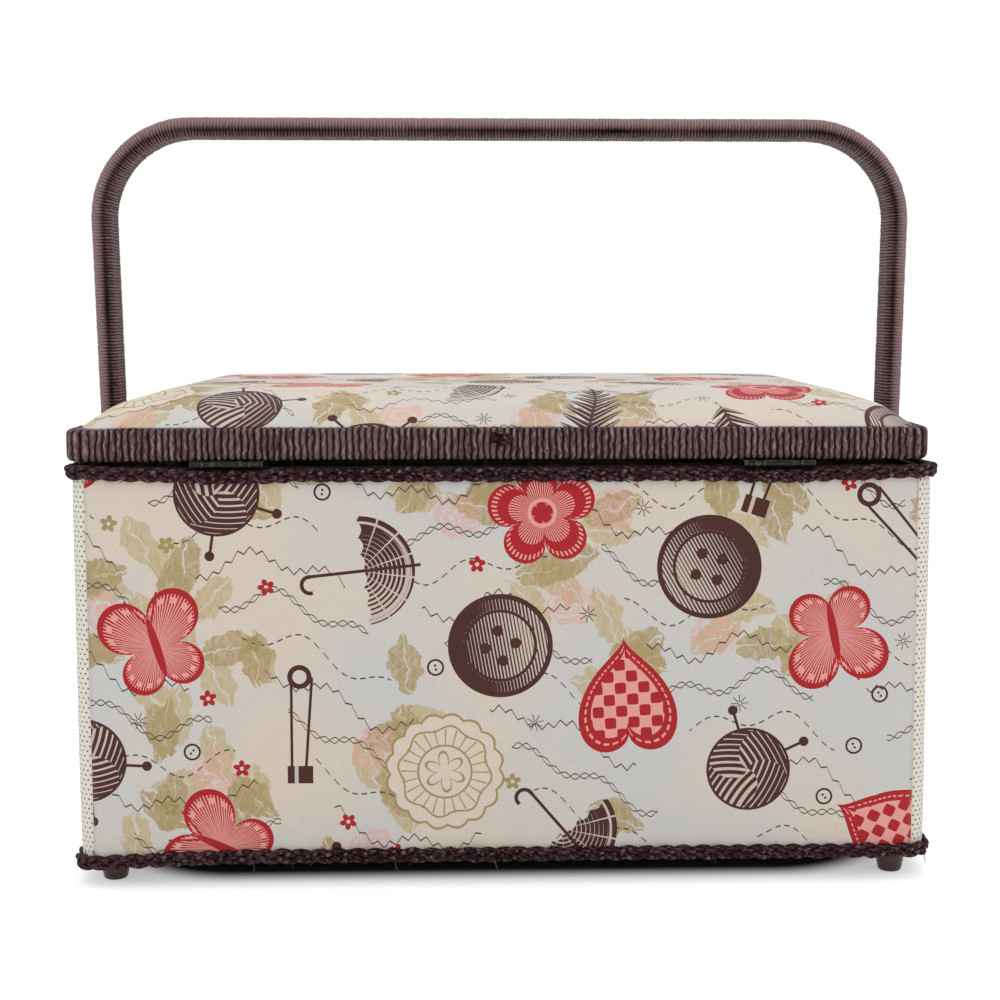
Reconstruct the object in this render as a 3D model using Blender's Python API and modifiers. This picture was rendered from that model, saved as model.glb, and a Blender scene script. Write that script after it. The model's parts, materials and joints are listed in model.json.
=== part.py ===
"""A fabric-covered sewing basket with a padded lid, a wound bail handle and a lift-out tray.

Lengths are in metres and +Z is up. The origin is on the floor, under the middle of the basket.
X runs along the width. The back, at -Y, carries the hinges, and the front, at +Y, the closure.
The lid turns about its hinge pins, the handle about its two bolts and the closure loop about its
two ends, which lie against the face of its tab. The tray lifts straight up.
"""

import math

import bmesh
import bpy
from mathutils import Matrix, Vector
import numpy as np

MM = 0.001

# Space between pieces that touch, and what a cutter runs past the piece it cuts
touch_gap = 0.3 * MM
cut_overrun = 2 * MM

# Points closer than these are welded: the loose caps of a curve, and the seam of a turned shape
cap_weld = 0.005 * MM
seam_weld = 0.02 * MM

# Body walls, from the outside in
body_width = 348 * MM
body_depth = 246 * MM
body_height = 162.6 * MM
corner_radius = 7.5 * MM
cover_thickness = 4 * MM
board_thickness = 3 * MM
lining_thickness = 1.5 * MM
lining_corner_radius = 4 * MM
smallest_radius = 0.5 * MM
floor_mat_thickness = 5 * MM
floor_mat_edge = 2 * MM

# Feet
foot_height = 9.5 * MM
foot_top_radius = 6.6 * MM
foot_bottom_radius = 5 * MM
foot_edge_radius = 1.2 * MM
foot_inset = 11.8 * MM

# Plaited cord round the top and bottom edges of the body
braid_height = 5.6 * MM
braid_thickness = 2.2 * MM
braid_corner_share = 1 / 3

# Hinges
hinge_length = 28.8 * MM
hinge_spacing = 222 * MM
hinge_leaf_width = 8.5 * MM
hinge_leaf_thickness = 0.7 * MM
hinge_barrel_radius = 1.2 * MM
hinge_pin_radius = 0.6 * MM
hinge_pin_clearance = 0.08 * MM
hinge_knuckle_shares = (0.17, 0.12, 0.41, 0.12, 0.18)

# Lid
lid_side_overhang = 1 * MM
lid_end_overhang = 2 * MM
lid_offset = -1.5 * MM
rim_height = 13.2 * MM
rim_thickness = 8.5 * MM
rim_corner_radius = 10 * MM
rim_core_height = 8.6 * MM
rim_core_thickness = 4.2 * MM
rim_slit = 1 * MM
rim_section_corner = 1.6 * MM
rim_rib_count = 160
rim_rib_depth = 0.7 * MM
lid_board_rise = 2 * MM
lid_board_corner_radius = 6 * MM
cushion_edge_rise = 6 * MM
cushion_rise = 17 * MM
cushion_edge_power = 5
cushion_corner_power = 24
lid_cover_thickness = 1 * MM
cushion_gap = 1 * MM
lid_lining_thickness = 1.4 * MM
lid_lining_inset = 2 * MM

# Under the lid
pocket_width = 150 * MM
pocket_depth = 96 * MM
pocket_thickness = 2 * MM
pocket_offset = -68 * MM
pocket_edge = 0.8 * MM
pincushion_radius = 33 * MM
pincushion_height = 12.5 * MM
pincushion_offset = 92 * MM
pincushion_swell_power = 0.6

# Handle: a flat band bent to a bail, and the cord wound round it
pivot_drop = 22.1 * MM
handle_rise = 171.1 * MM
handle_core_width = 20.4 * MM
handle_core_thickness = 3.5 * MM
handle_end_thickness = 5.2 * MM
handle_end_radius = 11.4 * MM
handle_cord = 2.1 * MM
handle_edge_turn = 1.3 * MM
handle_bend_radius = 41.5 * MM
handle_lean = math.radians(1.2)
handle_side_clearance = 0.5 * MM
handle_eye_radius = 2.8 * MM
handle_rib_count = 104
handle_rib_depth = 0.7 * MM
handle_bare_length = 14 * MM

# Handle pivots
bolt_radius = 2.5 * MM
bolt_head_radius = 7 * MM
bolt_head_height = 3 * MM
spacer_radius = 7.5 * MM
pivot_hole_radius = 2.8 * MM
pivot_nut_radius = 6 * MM
pivot_nut_thickness = 2.2 * MM

# Closure on the front
button_radius = 6.5 * MM
button_thickness = 3 * MM
button_shank_radius = 2 * MM
button_shank_length = 3.2 * MM
button_clearance = 1 * MM
button_profile_shares = ((0, 0.8), (0.7, 0.8), (0.82, 1), (1, 0.5), (0.8, 0))
loop_cord_radius = 1.1 * MM
loop_inner_width = 17 * MM
loop_length = 21.8 * MM
loop_lap = 2.5 * MM
tab_width = 25 * MM
tab_height = 9 * MM
tab_thickness = 1.8 * MM
tab_edge = 0.6 * MM

# Tray and its ledges
tray_side_clearance = 3.4 * MM
tray_height = 34 * MM
tray_recess = 25.1 * MM
tray_wall = 1.8 * MM
tray_corner_radius = 8 * MM
tray_pocket_radius = 5 * MM
tray_row_shares = (
    (0.37, (0.66, 0.34)),
    (0.33, (0.333, 0.333, 0.334)),
    (0.30, (0.5, 0.5)),
)
ledge_width = 9 * MM
ledge_height = 10 * MM
ledge_length_share = 0.8
ledge_edge = 1 * MM

# Facets, and the angles past which an edge is rounded or shaded sharp
corner_steps = 4
small_round_steps = 12
large_round_steps = 24
foot_sides = 16
foot_edge_steps = 2
braid_corner_steps = 2
pincushion_sides = 20
pincushion_rings = 6
bolt_head_rings = 3
loop_steps = 8
handle_bend_steps = 8
cushion_columns = 16
cushion_rows = 12
bevel_segments = 2
bevel_angle = math.radians(50)
sharp_angle = math.radians(40)
soft_sharp_angle = math.radians(60)

# What the sizes above give
cover_top = foot_height + body_height
pivot_height = cover_top - pivot_drop
board_width = body_width - 2 * (cover_thickness + touch_gap)
board_depth = body_depth - 2 * (cover_thickness + touch_gap)
board_corner_radius = max(corner_radius - cover_thickness - touch_gap, smallest_radius)
board_floor = foot_height + board_thickness
lining_width = board_width - 2 * (board_thickness + touch_gap)
lining_depth = board_depth - 2 * (board_thickness + touch_gap)
inner_width = lining_width - 2 * lining_thickness
inner_depth = lining_depth - 2 * lining_thickness
lining_floor = board_floor + touch_gap
inner_floor = lining_floor + lining_thickness

braid_reach = 2 * touch_gap + braid_thickness
lid_width = body_width + 2 * lid_side_overhang
lid_depth = body_depth + 2 * lid_end_overhang
hinge_axis_y = -lid_depth / 2 - touch_gap
body_leaf_bottom = cover_top + touch_gap
hinge_axis_z = body_leaf_bottom + hinge_barrel_radius
lid_leaf_top = hinge_axis_z + hinge_barrel_radius

rim_bottom = lid_leaf_top + touch_gap
lid_inner_width = lid_width - 2 * rim_thickness
lid_inner_depth = lid_depth - 2 * rim_thickness
lid_board_bottom = rim_bottom + lid_board_rise
lid_board_top = lid_board_bottom + board_thickness
cushion_bottom = lid_board_top + touch_gap
lid_lining_top = lid_board_bottom - touch_gap
lid_lining_bottom = lid_lining_top - lid_lining_thickness

handle_reach = handle_core_thickness / 2 + handle_cord
core_x = body_width / 2 + braid_reach + handle_side_clearance + handle_reach
core_inner_x = core_x - handle_end_thickness / 2
spacer_thickness = core_inner_x - body_width / 2 - 2 * touch_gap
core_top_z = pivot_height + handle_rise - handle_cord - handle_core_thickness / 2
bolt_head_x = core_inner_x + handle_end_thickness + touch_gap
nut_x = inner_width / 2 - touch_gap

button_back_y = body_depth / 2 + button_shank_length
tab_back_y = lid_depth / 2 + touch_gap
tab_bottom = rim_bottom + (rim_height - tab_height) / 2
loop_pivot_y = tab_back_y + tab_thickness + touch_gap + loop_cord_radius
loop_pivot_z = tab_bottom + loop_lap
button_height = loop_pivot_z - loop_length - button_clearance - button_radius

tray_width = inner_width - 2 * tray_side_clearance
tray_depth = inner_depth - 2 * tray_side_clearance
tray_bottom = cover_top - tray_recess - tray_height
ledge_top = tray_bottom - touch_gap

QUARTERS = ((1, 1), (-1, 1), (-1, -1), (1, -1))


def clear_scene():
    for obj in list(bpy.data.objects):
        bpy.data.objects.remove(obj, do_unlink=True)


def new_collection(name, hidden=False):
    collection = bpy.data.collections.new(name)
    collection.hide_render = hidden
    bpy.context.scene.collection.children.link(collection)
    return collection


def srgb(hex_colour):
    """Linear red, green, blue and alpha of a colour written as RRGGBB."""
    values = []
    for start in (0, 2, 4):
        value = int(hex_colour[start : start + 2], 16) / 255
        values.append(value / 12.92 if value <= 0.04045 else ((value + 0.055) / 1.055) ** 2.4)
    return (*values, 1.0)


def new_material(name, hex_colour, roughness, metallic=0.0):
    material = bpy.data.materials.new(name)
    material.use_nodes = True
    shader = material.node_tree.nodes["Principled BSDF"]
    shader.inputs["Base Color"].default_value = srgb(hex_colour)
    shader.inputs["Roughness"].default_value = roughness
    shader.inputs["Metallic"].default_value = metallic
    material.diffuse_color = srgb(hex_colour)
    return material


def keep(obj, collection, material=None):
    """Puts an object in a collection only, with its own copy of a material."""
    for old in list(obj.users_collection):
        old.objects.unlink(obj)
    collection.objects.link(obj)
    if material:
        own = material.copy()
        own.name = obj.name + "_" + material.name
        obj.data.materials.clear()
        obj.data.materials.append(own)
    return obj


def hide(obj, cutters):
    obj.hide_render = True
    obj.display_type = "WIRE"
    return keep(obj, cutters)


def smooth(obj, angle=sharp_angle):
    obj.data.shade_smooth()
    obj.data.set_sharp_from_angle(angle=angle)
    return obj


def object_from(name, bm):
    """A new object from a bmesh, with its normals out."""
    bmesh.ops.recalc_face_normals(bm, faces=bm.faces)
    mesh = bpy.data.meshes.new(name)
    bm.to_mesh(mesh)
    bm.free()
    obj = bpy.data.objects.new(name, mesh)
    bpy.context.scene.collection.objects.link(obj)
    return obj


def box(name, low, high):
    """A box between two corners, its origin at its middle."""
    low, high = Vector(low), Vector(high)
    bpy.ops.mesh.primitive_cube_add(size=1, location=(low + high) / 2)
    obj = bpy.context.active_object
    obj.name = name
    obj.data.transform(Matrix.Diagonal((high - low).to_4d()))
    return obj


def bevel(obj, width, segments=bevel_segments):
    modifier = obj.modifiers.new("Rounded edges", "BEVEL")
    modifier.width = width
    modifier.segments = segments
    modifier.limit_method = "ANGLE"
    modifier.angle_limit = bevel_angle
    modifier.use_clamp_overlap = True
    return obj


def cylinder(name, radius, start, end, steps=small_round_steps):
    """A cylinder between two points."""
    start, end = Vector(start), Vector(end)
    bpy.ops.mesh.primitive_cylinder_add(
        vertices=steps, radius=radius, depth=(end - start).length, location=(start + end) / 2
    )
    obj = bpy.context.active_object
    obj.name = name
    obj.rotation_euler = (end - start).to_track_quat("Z", "X").to_euler()
    return obj


def boolean(obj, cutters, other, operation="DIFFERENCE"):
    """Cuts or joins another object, which becomes a hidden operand."""
    hide(other, cutters)
    modifier = obj.modifiers.new(operation.title() + " " + other.name, "BOOLEAN")
    modifier.object = other
    modifier.operation = operation
    return obj


def turned(name, profile, steps=large_round_steps):
    """A profile of (radius, height) points, top to bottom, turned about Z."""
    mesh = bpy.data.meshes.new(name)
    points = [(radius, 0, height) for radius, height in profile]
    mesh.from_pydata(points, [(i, i + 1) for i in range(len(points) - 1)], [])
    obj = bpy.data.objects.new(name, mesh)
    bpy.context.scene.collection.objects.link(obj)
    screw = obj.modifiers.new("Turn", "SCREW")
    screw.steps = steps
    screw.render_steps = steps
    screw.use_merge_vertices = True
    screw.merge_threshold = seam_weld
    return obj


def rounded_rectangle(width, depth, radius, steps=corner_steps):
    """Points round a rectangle with round corners, anticlockwise from the middle of its right side."""
    points = []
    for quarter, (side_x, side_y) in enumerate(QUARTERS):
        for step in range(steps + 1):
            angle = (quarter + step / steps) * math.pi / 2
            x = side_x * (width / 2 - radius) + radius * math.cos(angle)
            y = side_y * (depth / 2 - radius) + radius * math.sin(angle)
            points.append((x, y))
    return points


def clipped(outline, normal, limit):
    """The part of a convex outline where its distance along a normal stays under a limit."""
    kept = []
    for (x, y), (next_x, next_y) in zip(outline, outline[1:] + outline[:1]):
        here = x * normal[0] + y * normal[1] - limit
        there = next_x * normal[0] + next_y * normal[1] - limit
        if here <= 0:
            kept.append((x, y))
        if (here < 0 < there) or (there < 0 < here):
            share = here / (here - there)
            kept.append((x + share * (next_x - x), y + share * (next_y - y)))
    return kept


def cover_outline(side):
    """One side's cover: a wall whose ends turn halfway round both corners. Side 0 is right, 1 front."""
    inner_radius = max(corner_radius - cover_thickness, smallest_radius)
    seam = touch_gap / (2 * corner_radius)
    quarters = ((side - 1) % 4, math.pi / 4 + seam, math.pi / 2), (side, 0, math.pi / 4 - seam)
    outer, inner = [], []
    for quarter, first, last in quarters:
        side_x, side_y = QUARTERS[quarter]
        for step in range(corner_steps + 1):
            angle = quarter * math.pi / 2 + first + (last - first) * step / corner_steps
            for radius, width, depth, points in (
                (corner_radius, body_width, body_depth, outer),
                (inner_radius, body_width - 2 * cover_thickness, body_depth - 2 * cover_thickness, inner),
            ):
                x = side_x * (width / 2 - radius) + radius * math.cos(angle)
                y = side_y * (depth / 2 - radius) + radius * math.sin(angle)
                points.append((x, y))
    return outer + inner[::-1]


def flat_piece(name, outline, low, high):
    """An outline given a thickness between two heights, as a filled 2D curve made a mesh."""
    curve = bpy.data.curves.new(name, "CURVE")
    curve.dimensions = "2D"
    curve.fill_mode = "BOTH"
    curve.extrude = (high - low) / 2
    spline = curve.splines.new("POLY")
    spline.points.add(len(outline) - 1)
    for point, (x, y) in zip(spline.points, outline):
        point.co = (x, y, 0, 1)
    spline.use_cyclic_u = True
    guide = bpy.data.objects.new(name, curve)
    guide.location.z = (low + high) / 2
    return meshed(guide)


def meshed(guide):
    """A curve object made a mesh object at its place, with its loose caps welded on."""
    bpy.context.scene.collection.objects.link(guide)
    bpy.context.view_layer.update()
    name = guide.name
    evaluated = guide.evaluated_get(bpy.context.evaluated_depsgraph_get())
    mesh = bpy.data.meshes.new_from_object(evaluated)
    place = guide.matrix_world.copy()
    bpy.data.objects.remove(guide, do_unlink=True)
    bm = bmesh.new()
    bm.from_mesh(mesh)
    bmesh.ops.remove_doubles(bm, verts=bm.verts, dist=cap_weld)
    bmesh.ops.recalc_face_normals(bm, faces=bm.faces)
    bm.to_mesh(mesh)
    bm.free()
    mesh.name = name
    obj = bpy.data.objects.new(name, mesh)
    obj.matrix_world = place
    bpy.context.scene.collection.objects.link(obj)
    return obj


def evenly_along(points, count, closed):
    """Points spaced evenly along a path, and the path's length."""
    path = np.array(points + points[:1] if closed else points)
    lengths = np.concatenate([[0], np.cumsum(np.linalg.norm(np.diff(path, axis=0), axis=1))])
    places = np.linspace(0, lengths[-1], count + 1)
    if closed:
        places = places[:-1]
    return [tuple(row) for row in np.stack([np.interp(places, lengths, axis) for axis in path.T], 1)]


def swept(name, path, section, closed, cutters, twist="Z_UP"):
    """A section carried along a path of 3D points, as a curve with that section for its bevel."""
    outline = bpy.data.curves.new(name + "_section", "CURVE")
    outline.dimensions = "2D"
    spline = outline.splines.new("POLY")
    spline.points.add(len(section) - 1)
    for point, (x, y) in zip(spline.points, section):
        point.co = (x, y, 0, 1)
    spline.use_cyclic_u = True
    section_object = bpy.data.objects.new(name + "_section", outline)
    hide(section_object, cutters)
    curve = bpy.data.curves.new(name, "CURVE")
    curve.dimensions = "3D"
    curve.bevel_mode = "OBJECT"
    curve.bevel_object = section_object
    curve.use_fill_caps = not closed
    curve.twist_mode = twist
    spline = curve.splines.new("POLY")
    spline.points.add(len(path) - 1)
    for point, place in zip(spline.points, path):
        point.co = (*place, 1)
    spline.use_cyclic_u = closed
    return meshed(bpy.data.objects.new(name, curve))


def wound(name, path, crest, valley, side, closed):
    """A loft along a path whose sections are a crest and a valley by turns, as wound cord is.

    A section's first number points away from the path's inside and its second along the side.
    """
    side = Vector(side)
    places = [Vector(place) for place in path]
    last = len(places) - 1
    bm = bmesh.new()
    rings = []
    for index, place in enumerate(places):
        before = places[index - 1] if closed else places[max(index - 1, 0)]
        after = places[(index + 1) % len(places)] if closed else places[min(index + 1, last)]
        out = (after - before).normalized().cross(side)
        section = crest if index % 2 else valley
        rings.append([bm.verts.new(place + out * across + side * along) for across, along in section])
    pairs = list(zip(rings, rings[1:]))
    if closed:
        pairs.append((rings[-1], rings[0]))
    count = len(crest)
    for ring, after in pairs:
        for index in range(count):
            following = (index + 1) % count
            bm.faces.new((ring[index], ring[following], after[following], after[index]))
    if not closed:
        bm.faces.new(rings[0])
        bm.faces.new(rings[-1][::-1])
    return object_from(name, bm)


def rectangle(width, height):
    return [(x * width / 2, y * height / 2) for x, y in QUARTERS]


def ring_path(width, depth, radius, height, offset=0):
    return [(x + offset, y, height) for x, y in rounded_rectangle(width, depth, radius)]


def moved(outline, offset):
    """An outline moved along X."""
    return [(x + offset, y) for x, y in outline]


def build_boards(parts, board):
    """The bottom board, and four wall boards that stand on it inside the covers."""
    carcass = rounded_rectangle(board_width, board_depth, board_corner_radius)
    bottom = flat_piece("bottom_board", carcass, foot_height, board_floor)
    keep(bottom, parts, board)
    low, high = board_floor + touch_gap, cover_top
    inner_y = board_depth / 2 - board_thickness
    inner_x = board_width / 2 - board_thickness
    for name, side in (("front_board", 1), ("back_board", -1)):
        outline = clipped(carcass, (0, -side), -inner_y)
        keep(flat_piece(name, outline, low, high), parts, board)
    boards = []
    for name, side in (("left_board", -1), ("right_board", 1)):
        outline = clipped(carcass, (-side, 0), -inner_x)
        outline = clipped(outline, (0, 1), inner_y - touch_gap)
        outline = clipped(outline, (0, -1), inner_y - touch_gap)
        boards.append(keep(flat_piece(name, outline, low, high), parts, board))
    return boards


def build_covers(parts, fabric, dotted):
    """Fabric over wadding, one piece a side, meeting at a seam halfway round each corner."""
    covers = {}
    names = ("right_cover", "front_cover", "left_cover", "back_cover")
    for side, name in enumerate(names):
        obj = flat_piece(name, cover_outline(side), foot_height, cover_top)
        covers[name] = keep(smooth(obj), parts, fabric if side % 2 else dotted)
    return covers


def build_lining(parts, lining):
    """The cloth lining: an open tub with its floor, and the padded mat that lies on it."""
    bm = bmesh.new()
    outline = rounded_rectangle(lining_width, lining_depth, lining_corner_radius)
    floor = [bm.verts.new((x, y, lining_floor)) for x, y in outline]
    top = [bm.verts.new((x, y, cover_top)) for x, y in outline]
    bm.faces.new(floor[::-1])
    for index in range(len(outline)):
        after = (index + 1) % len(outline)
        bm.faces.new((floor[index], floor[after], top[after], top[index]))
    tub = object_from("body_lining", bm)
    wall = tub.modifiers.new("Wall", "SOLIDIFY")
    wall.thickness = lining_thickness
    wall.offset = -1
    wall.use_even_offset = True
    keep(smooth(tub), parts, lining)
    radius = lining_corner_radius
    outline = rounded_rectangle(inner_width - 2 * touch_gap, inner_depth - 2 * touch_gap, radius)
    low = inner_floor + touch_gap
    mat = flat_piece("floor_mat", outline, low, low + floor_mat_thickness)
    keep(bevel(mat, floor_mat_edge), parts, lining)
    return tub


def build_feet(parts, plastic):
    """Four tapered feet with a round lower edge."""
    arc = []
    for step in range(foot_edge_steps + 1):
        angle = math.pi / 2 * step / foot_edge_steps
        radius = foot_bottom_radius - foot_edge_radius * (1 - math.cos(angle))
        arc.append((radius, foot_edge_radius * (1 - math.sin(angle))))
    top = foot_height - touch_gap
    profile = [(0, top), (foot_top_radius, top), *arc, (0, 0)]
    for end, side_y in (("front", 1), ("back", -1)):
        for side, side_x in (("left", -1), ("right", 1)):
            foot = turned(f"{end}_{side}_foot", profile, foot_sides)
            foot.location.x = side_x * (body_width / 2 - foot_inset)
            foot.location.y = side_y * (body_depth / 2 - foot_inset)
            keep(foot, parts, plastic)


def build_braids(parts, cutters, cord):
    """The plaited cords round the body's edges, as rounded bands against the covers."""
    corner = braid_thickness * braid_corner_share
    section = rounded_rectangle(braid_thickness, braid_height, corner, braid_corner_steps)
    heights = (
        ("top_braid", cover_top - braid_height / 2),
        ("bottom_braid", foot_height + braid_height / 2),
    )
    for name, height in heights:
        radius = corner_radius + braid_reach / 2
        path = ring_path(body_width + braid_reach, body_depth + braid_reach, radius, height)
        obj = swept(name, path, section, True, cutters)
        keep(smooth(obj, soft_sharp_angle), parts, cord)


def hinge_leaf(name, centre_x, own, cutters):
    """A hinge leaf: its plate, the knuckles that are its own, and the pin's bore."""
    plate_low = body_leaf_bottom if own == 0 else lid_leaf_top - hinge_leaf_thickness
    plate_high = plate_low + hinge_leaf_thickness
    left = centre_x - hinge_length / 2
    near = hinge_axis_y + hinge_barrel_radius + touch_gap
    far = hinge_axis_y + hinge_barrel_radius + hinge_leaf_width
    leaf = box(name, (left, near, plate_low), (left + hinge_length, far, plate_high))
    start = left
    for index, share in enumerate(hinge_knuckle_shares):
        end = start + share * hinge_length
        first = start + (touch_gap / 2 if index else 0)
        last = end - (touch_gap / 2 if index < len(hinge_knuckle_shares) - 1 else 0)
        if index % 2 == own:
            knuckle = cylinder(
                f"{name}_knuckle_{index}",
                hinge_barrel_radius,
                (first, hinge_axis_y, hinge_axis_z),
                (last, hinge_axis_y, hinge_axis_z),
            )
            boolean(leaf, cutters, knuckle, "UNION")
            tongue = box(
                f"{name}_tongue_{index}",
                (first, hinge_axis_y, plate_low),
                (last, near + hinge_leaf_thickness, plate_high),
            )
            boolean(leaf, cutters, tongue, "UNION")
        start = end
    bore = cylinder(
        name + "_bore",
        hinge_pin_radius + hinge_pin_clearance,
        (left - cut_overrun, hinge_axis_y, hinge_axis_z),
        (left + hinge_length + cut_overrun, hinge_axis_y, hinge_axis_z),
    )
    return boolean(leaf, cutters, bore)


def build_hinges(parts, cutters, steel):
    """Two butt hinges, each with a leaf on the body, a leaf under the rim and a pin."""
    for side, sign in (("left", -1), ("right", 1)):
        centre_x = sign * hinge_spacing / 2
        for leaf_name, own in (("body", 0), ("lid", 1)):
            leaf = hinge_leaf(f"{side}_hinge_{leaf_name}_leaf", centre_x, own, cutters)
            keep(leaf, parts, steel)
        half = Vector((hinge_length / 2, 0, 0))
        middle = Vector((centre_x, hinge_axis_y, hinge_axis_z))
        pin = cylinder(f"{side}_hinge_pin", hinge_pin_radius, middle - half, middle + half)
        keep(pin, parts, steel)


def rim_section(depth):
    """The rim winding's outline, drawn in by a depth, with its upper outer edge turned off."""
    outer, high, corner = rim_thickness / 2 - depth, rim_height / 2 - depth, rim_section_corner
    low = -rim_height / 2
    return [(outer, low), (outer, high - corner), (outer - corner, high), (-outer, high), (-outer, low)]


def build_rim(parts, cutters, board, cord):
    """The rim: a flat frame on edge, and the cord wound round it, ribbed turn by turn."""
    width, depth = lid_width - rim_thickness, lid_depth - rim_thickness
    radius = rim_corner_radius - rim_thickness / 2
    path = ring_path(width, depth, radius, rim_bottom + rim_height / 2, lid_offset)
    core = rectangle(rim_core_thickness, rim_core_height)
    frame = swept("rim_frame", path, core, True, cutters)
    keep(frame, parts, board)
    turns = evenly_along(path, 2 * rim_rib_count, True)
    winding = wound(
        "rim_winding", turns, rim_section(0), rim_section(rim_rib_depth), (0, 0, 1), True
    )
    half_x = rim_core_thickness / 2 + touch_gap
    half_y = rim_core_height / 2 + touch_gap
    below = -rim_height / 2 - cut_overrun
    bore = [
        (half_x, -half_y),
        (half_x, half_y),
        (-half_x, half_y),
        (-half_x, -half_y),
        (-rim_slit / 2, -half_y),
        (-rim_slit / 2, below),
        (rim_slit / 2, below),
        (rim_slit / 2, -half_y),
    ]
    boolean(winding, cutters, swept("rim_winding_bore", path, bore, True, cutters))
    keep(winding, parts, cord)


def crown(across, along, inset, top):
    """A point of the cushion's crown for a place from -1 to 1 each way, drawn in at the corners."""
    larger = max(abs(across), abs(along))
    power = cushion_corner_power
    rounded = (abs(across) ** power + abs(along) ** power) ** (1 / power)
    draw = larger / rounded if rounded else 1
    rise_across = math.sqrt(max(1 - abs(across) ** cushion_edge_power, 0))
    rise_along = math.sqrt(max(1 - abs(along) ** cushion_edge_power, 0))
    low = lid_board_top + cushion_edge_rise
    x = lid_offset + across * draw * (lid_inner_width / 2 - inset)
    y = along * draw * (lid_inner_depth / 2 - inset)
    return x, y, low + (top - low) * rise_across * rise_along


def crowned(name, inset, top, bottom, filled):
    """A cushion form: a crowned top whose sides drop straight to its lower edge."""
    columns, rows = cushion_columns, cushion_rows
    bm = bmesh.new()
    grid = []
    for row in range(rows + 1):
        along = -math.cos(math.pi * row / rows)
        line = []
        for column in range(columns + 1):
            across = -math.cos(math.pi * column / columns)
            line.append(bm.verts.new(crown(across, along, inset, top)))
        grid.append(line)
    for row in range(rows):
        for column in range(columns):
            corner = grid[row][column], grid[row][column + 1]
            bm.faces.new((*corner, grid[row + 1][column + 1], grid[row + 1][column]))
    border = [edge for edge in bm.edges if edge.is_boundary]
    made = bmesh.ops.extrude_edge_only(bm, edges=border)["geom"]
    lower = [item for item in made if isinstance(item, bmesh.types.BMVert)]
    for vert in lower:
        vert.co.z = bottom
    if filled:
        loop = [item for item in made if isinstance(item, bmesh.types.BMEdge) and item.is_boundary]
        bmesh.ops.contextual_create(bm, geom=loop)
    return object_from(name, bm)


def build_lid(parts, board, wadding, fabric, lining):
    """The lid's board, its padding, the printed cover over it and the lining under it."""
    outline = rounded_rectangle(
        lid_inner_width - 2 * touch_gap, lid_inner_depth - 2 * touch_gap, lid_board_corner_radius
    )
    outline = moved(outline, lid_offset)
    keep(flat_piece("lid_board", outline, lid_board_bottom, lid_board_top), parts, board)
    top = cushion_bottom + cushion_edge_rise + cushion_rise
    cover = crowned("lid_cover", touch_gap, top, cushion_bottom, False)
    wall = cover.modifiers.new("Cloth", "SOLIDIFY")
    wall.thickness = lid_cover_thickness
    wall.offset = -1
    keep(smooth(cover, soft_sharp_angle), parts, fabric)
    inset = touch_gap + lid_cover_thickness + cushion_gap
    cushion = crowned("lid_cushion", inset, top - inset, cushion_bottom, True)
    keep(smooth(cushion, soft_sharp_angle), parts, wadding)
    width = lid_inner_width - 2 * lid_lining_inset
    depth = lid_inner_depth - 2 * lid_lining_inset
    outline = moved(rounded_rectangle(width, depth, lid_board_corner_radius), lid_offset)
    panel = flat_piece("lid_lining", outline, lid_lining_bottom, lid_lining_top)
    keep(panel, parts, lining)


def build_lid_inside(parts, lining, pin_fabric):
    """The flat pocket and the domed pincushion sewn to the lid's lining."""
    high = lid_lining_bottom - touch_gap
    half = Vector((pocket_width / 2, pocket_depth / 2, 0))
    middle = Vector((lid_offset + pocket_offset, 0, high))
    low = middle - half - Vector((0, 0, pocket_thickness))
    pocket = bevel(box("lid_pocket", low, middle + half), pocket_edge)
    keep(pocket, parts, lining)
    profile = [(0, 0)]
    for step in range(pincushion_rings):
        angle = math.pi / 2 * step / pincushion_rings
        radius = pincushion_radius * math.cos(angle) ** pincushion_swell_power
        profile.append((radius, -pincushion_height * math.sin(angle)))
    profile.append((0, -pincushion_height))
    pincushion = turned("pincushion", profile, pincushion_sides)
    pincushion.location = (lid_offset + pincushion_offset, 0, high)
    keep(pincushion, parts, pin_fabric)


def handle_path(from_height):
    """The bail's middle line in the XZ plane, from the left side over the top to the right side."""
    rows = handle_bend_steps
    lean = math.tan(handle_lean)
    half = math.pi / 2 - handle_lean
    corner_z = core_top_z - handle_bend_radius
    leg_top = corner_z + handle_bend_radius * math.sin(handle_lean)
    corner_x = core_x + (leg_top - pivot_height) * lean - handle_bend_radius * math.cos(handle_lean)
    right = [(core_x + (from_height - pivot_height) * lean, from_height)]
    for step in range(rows + 1):
        angle = -handle_lean + (half + 2 * handle_lean) * step / rows
        x = corner_x + handle_bend_radius * math.cos(angle)
        right.append((x, corner_z - handle_bend_radius * math.sin(-angle)))
    right[-1] = (corner_x, core_top_z)
    return [(-x, 0, z) for x, z in right] + [(x, 0, z) for x, z in reversed(right)]


def handle_section(depth):
    """The handle winding's outline, drawn in by a depth: a flat band with its edges turned off."""
    thick = handle_reach - depth
    wide = handle_core_width / 2 + handle_cord - depth
    flat = wide - handle_edge_turn
    return [(thick, -flat), (thick, flat), (0, wide), (-thick, flat), (-thick, -flat), (0, -wide)]


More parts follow.
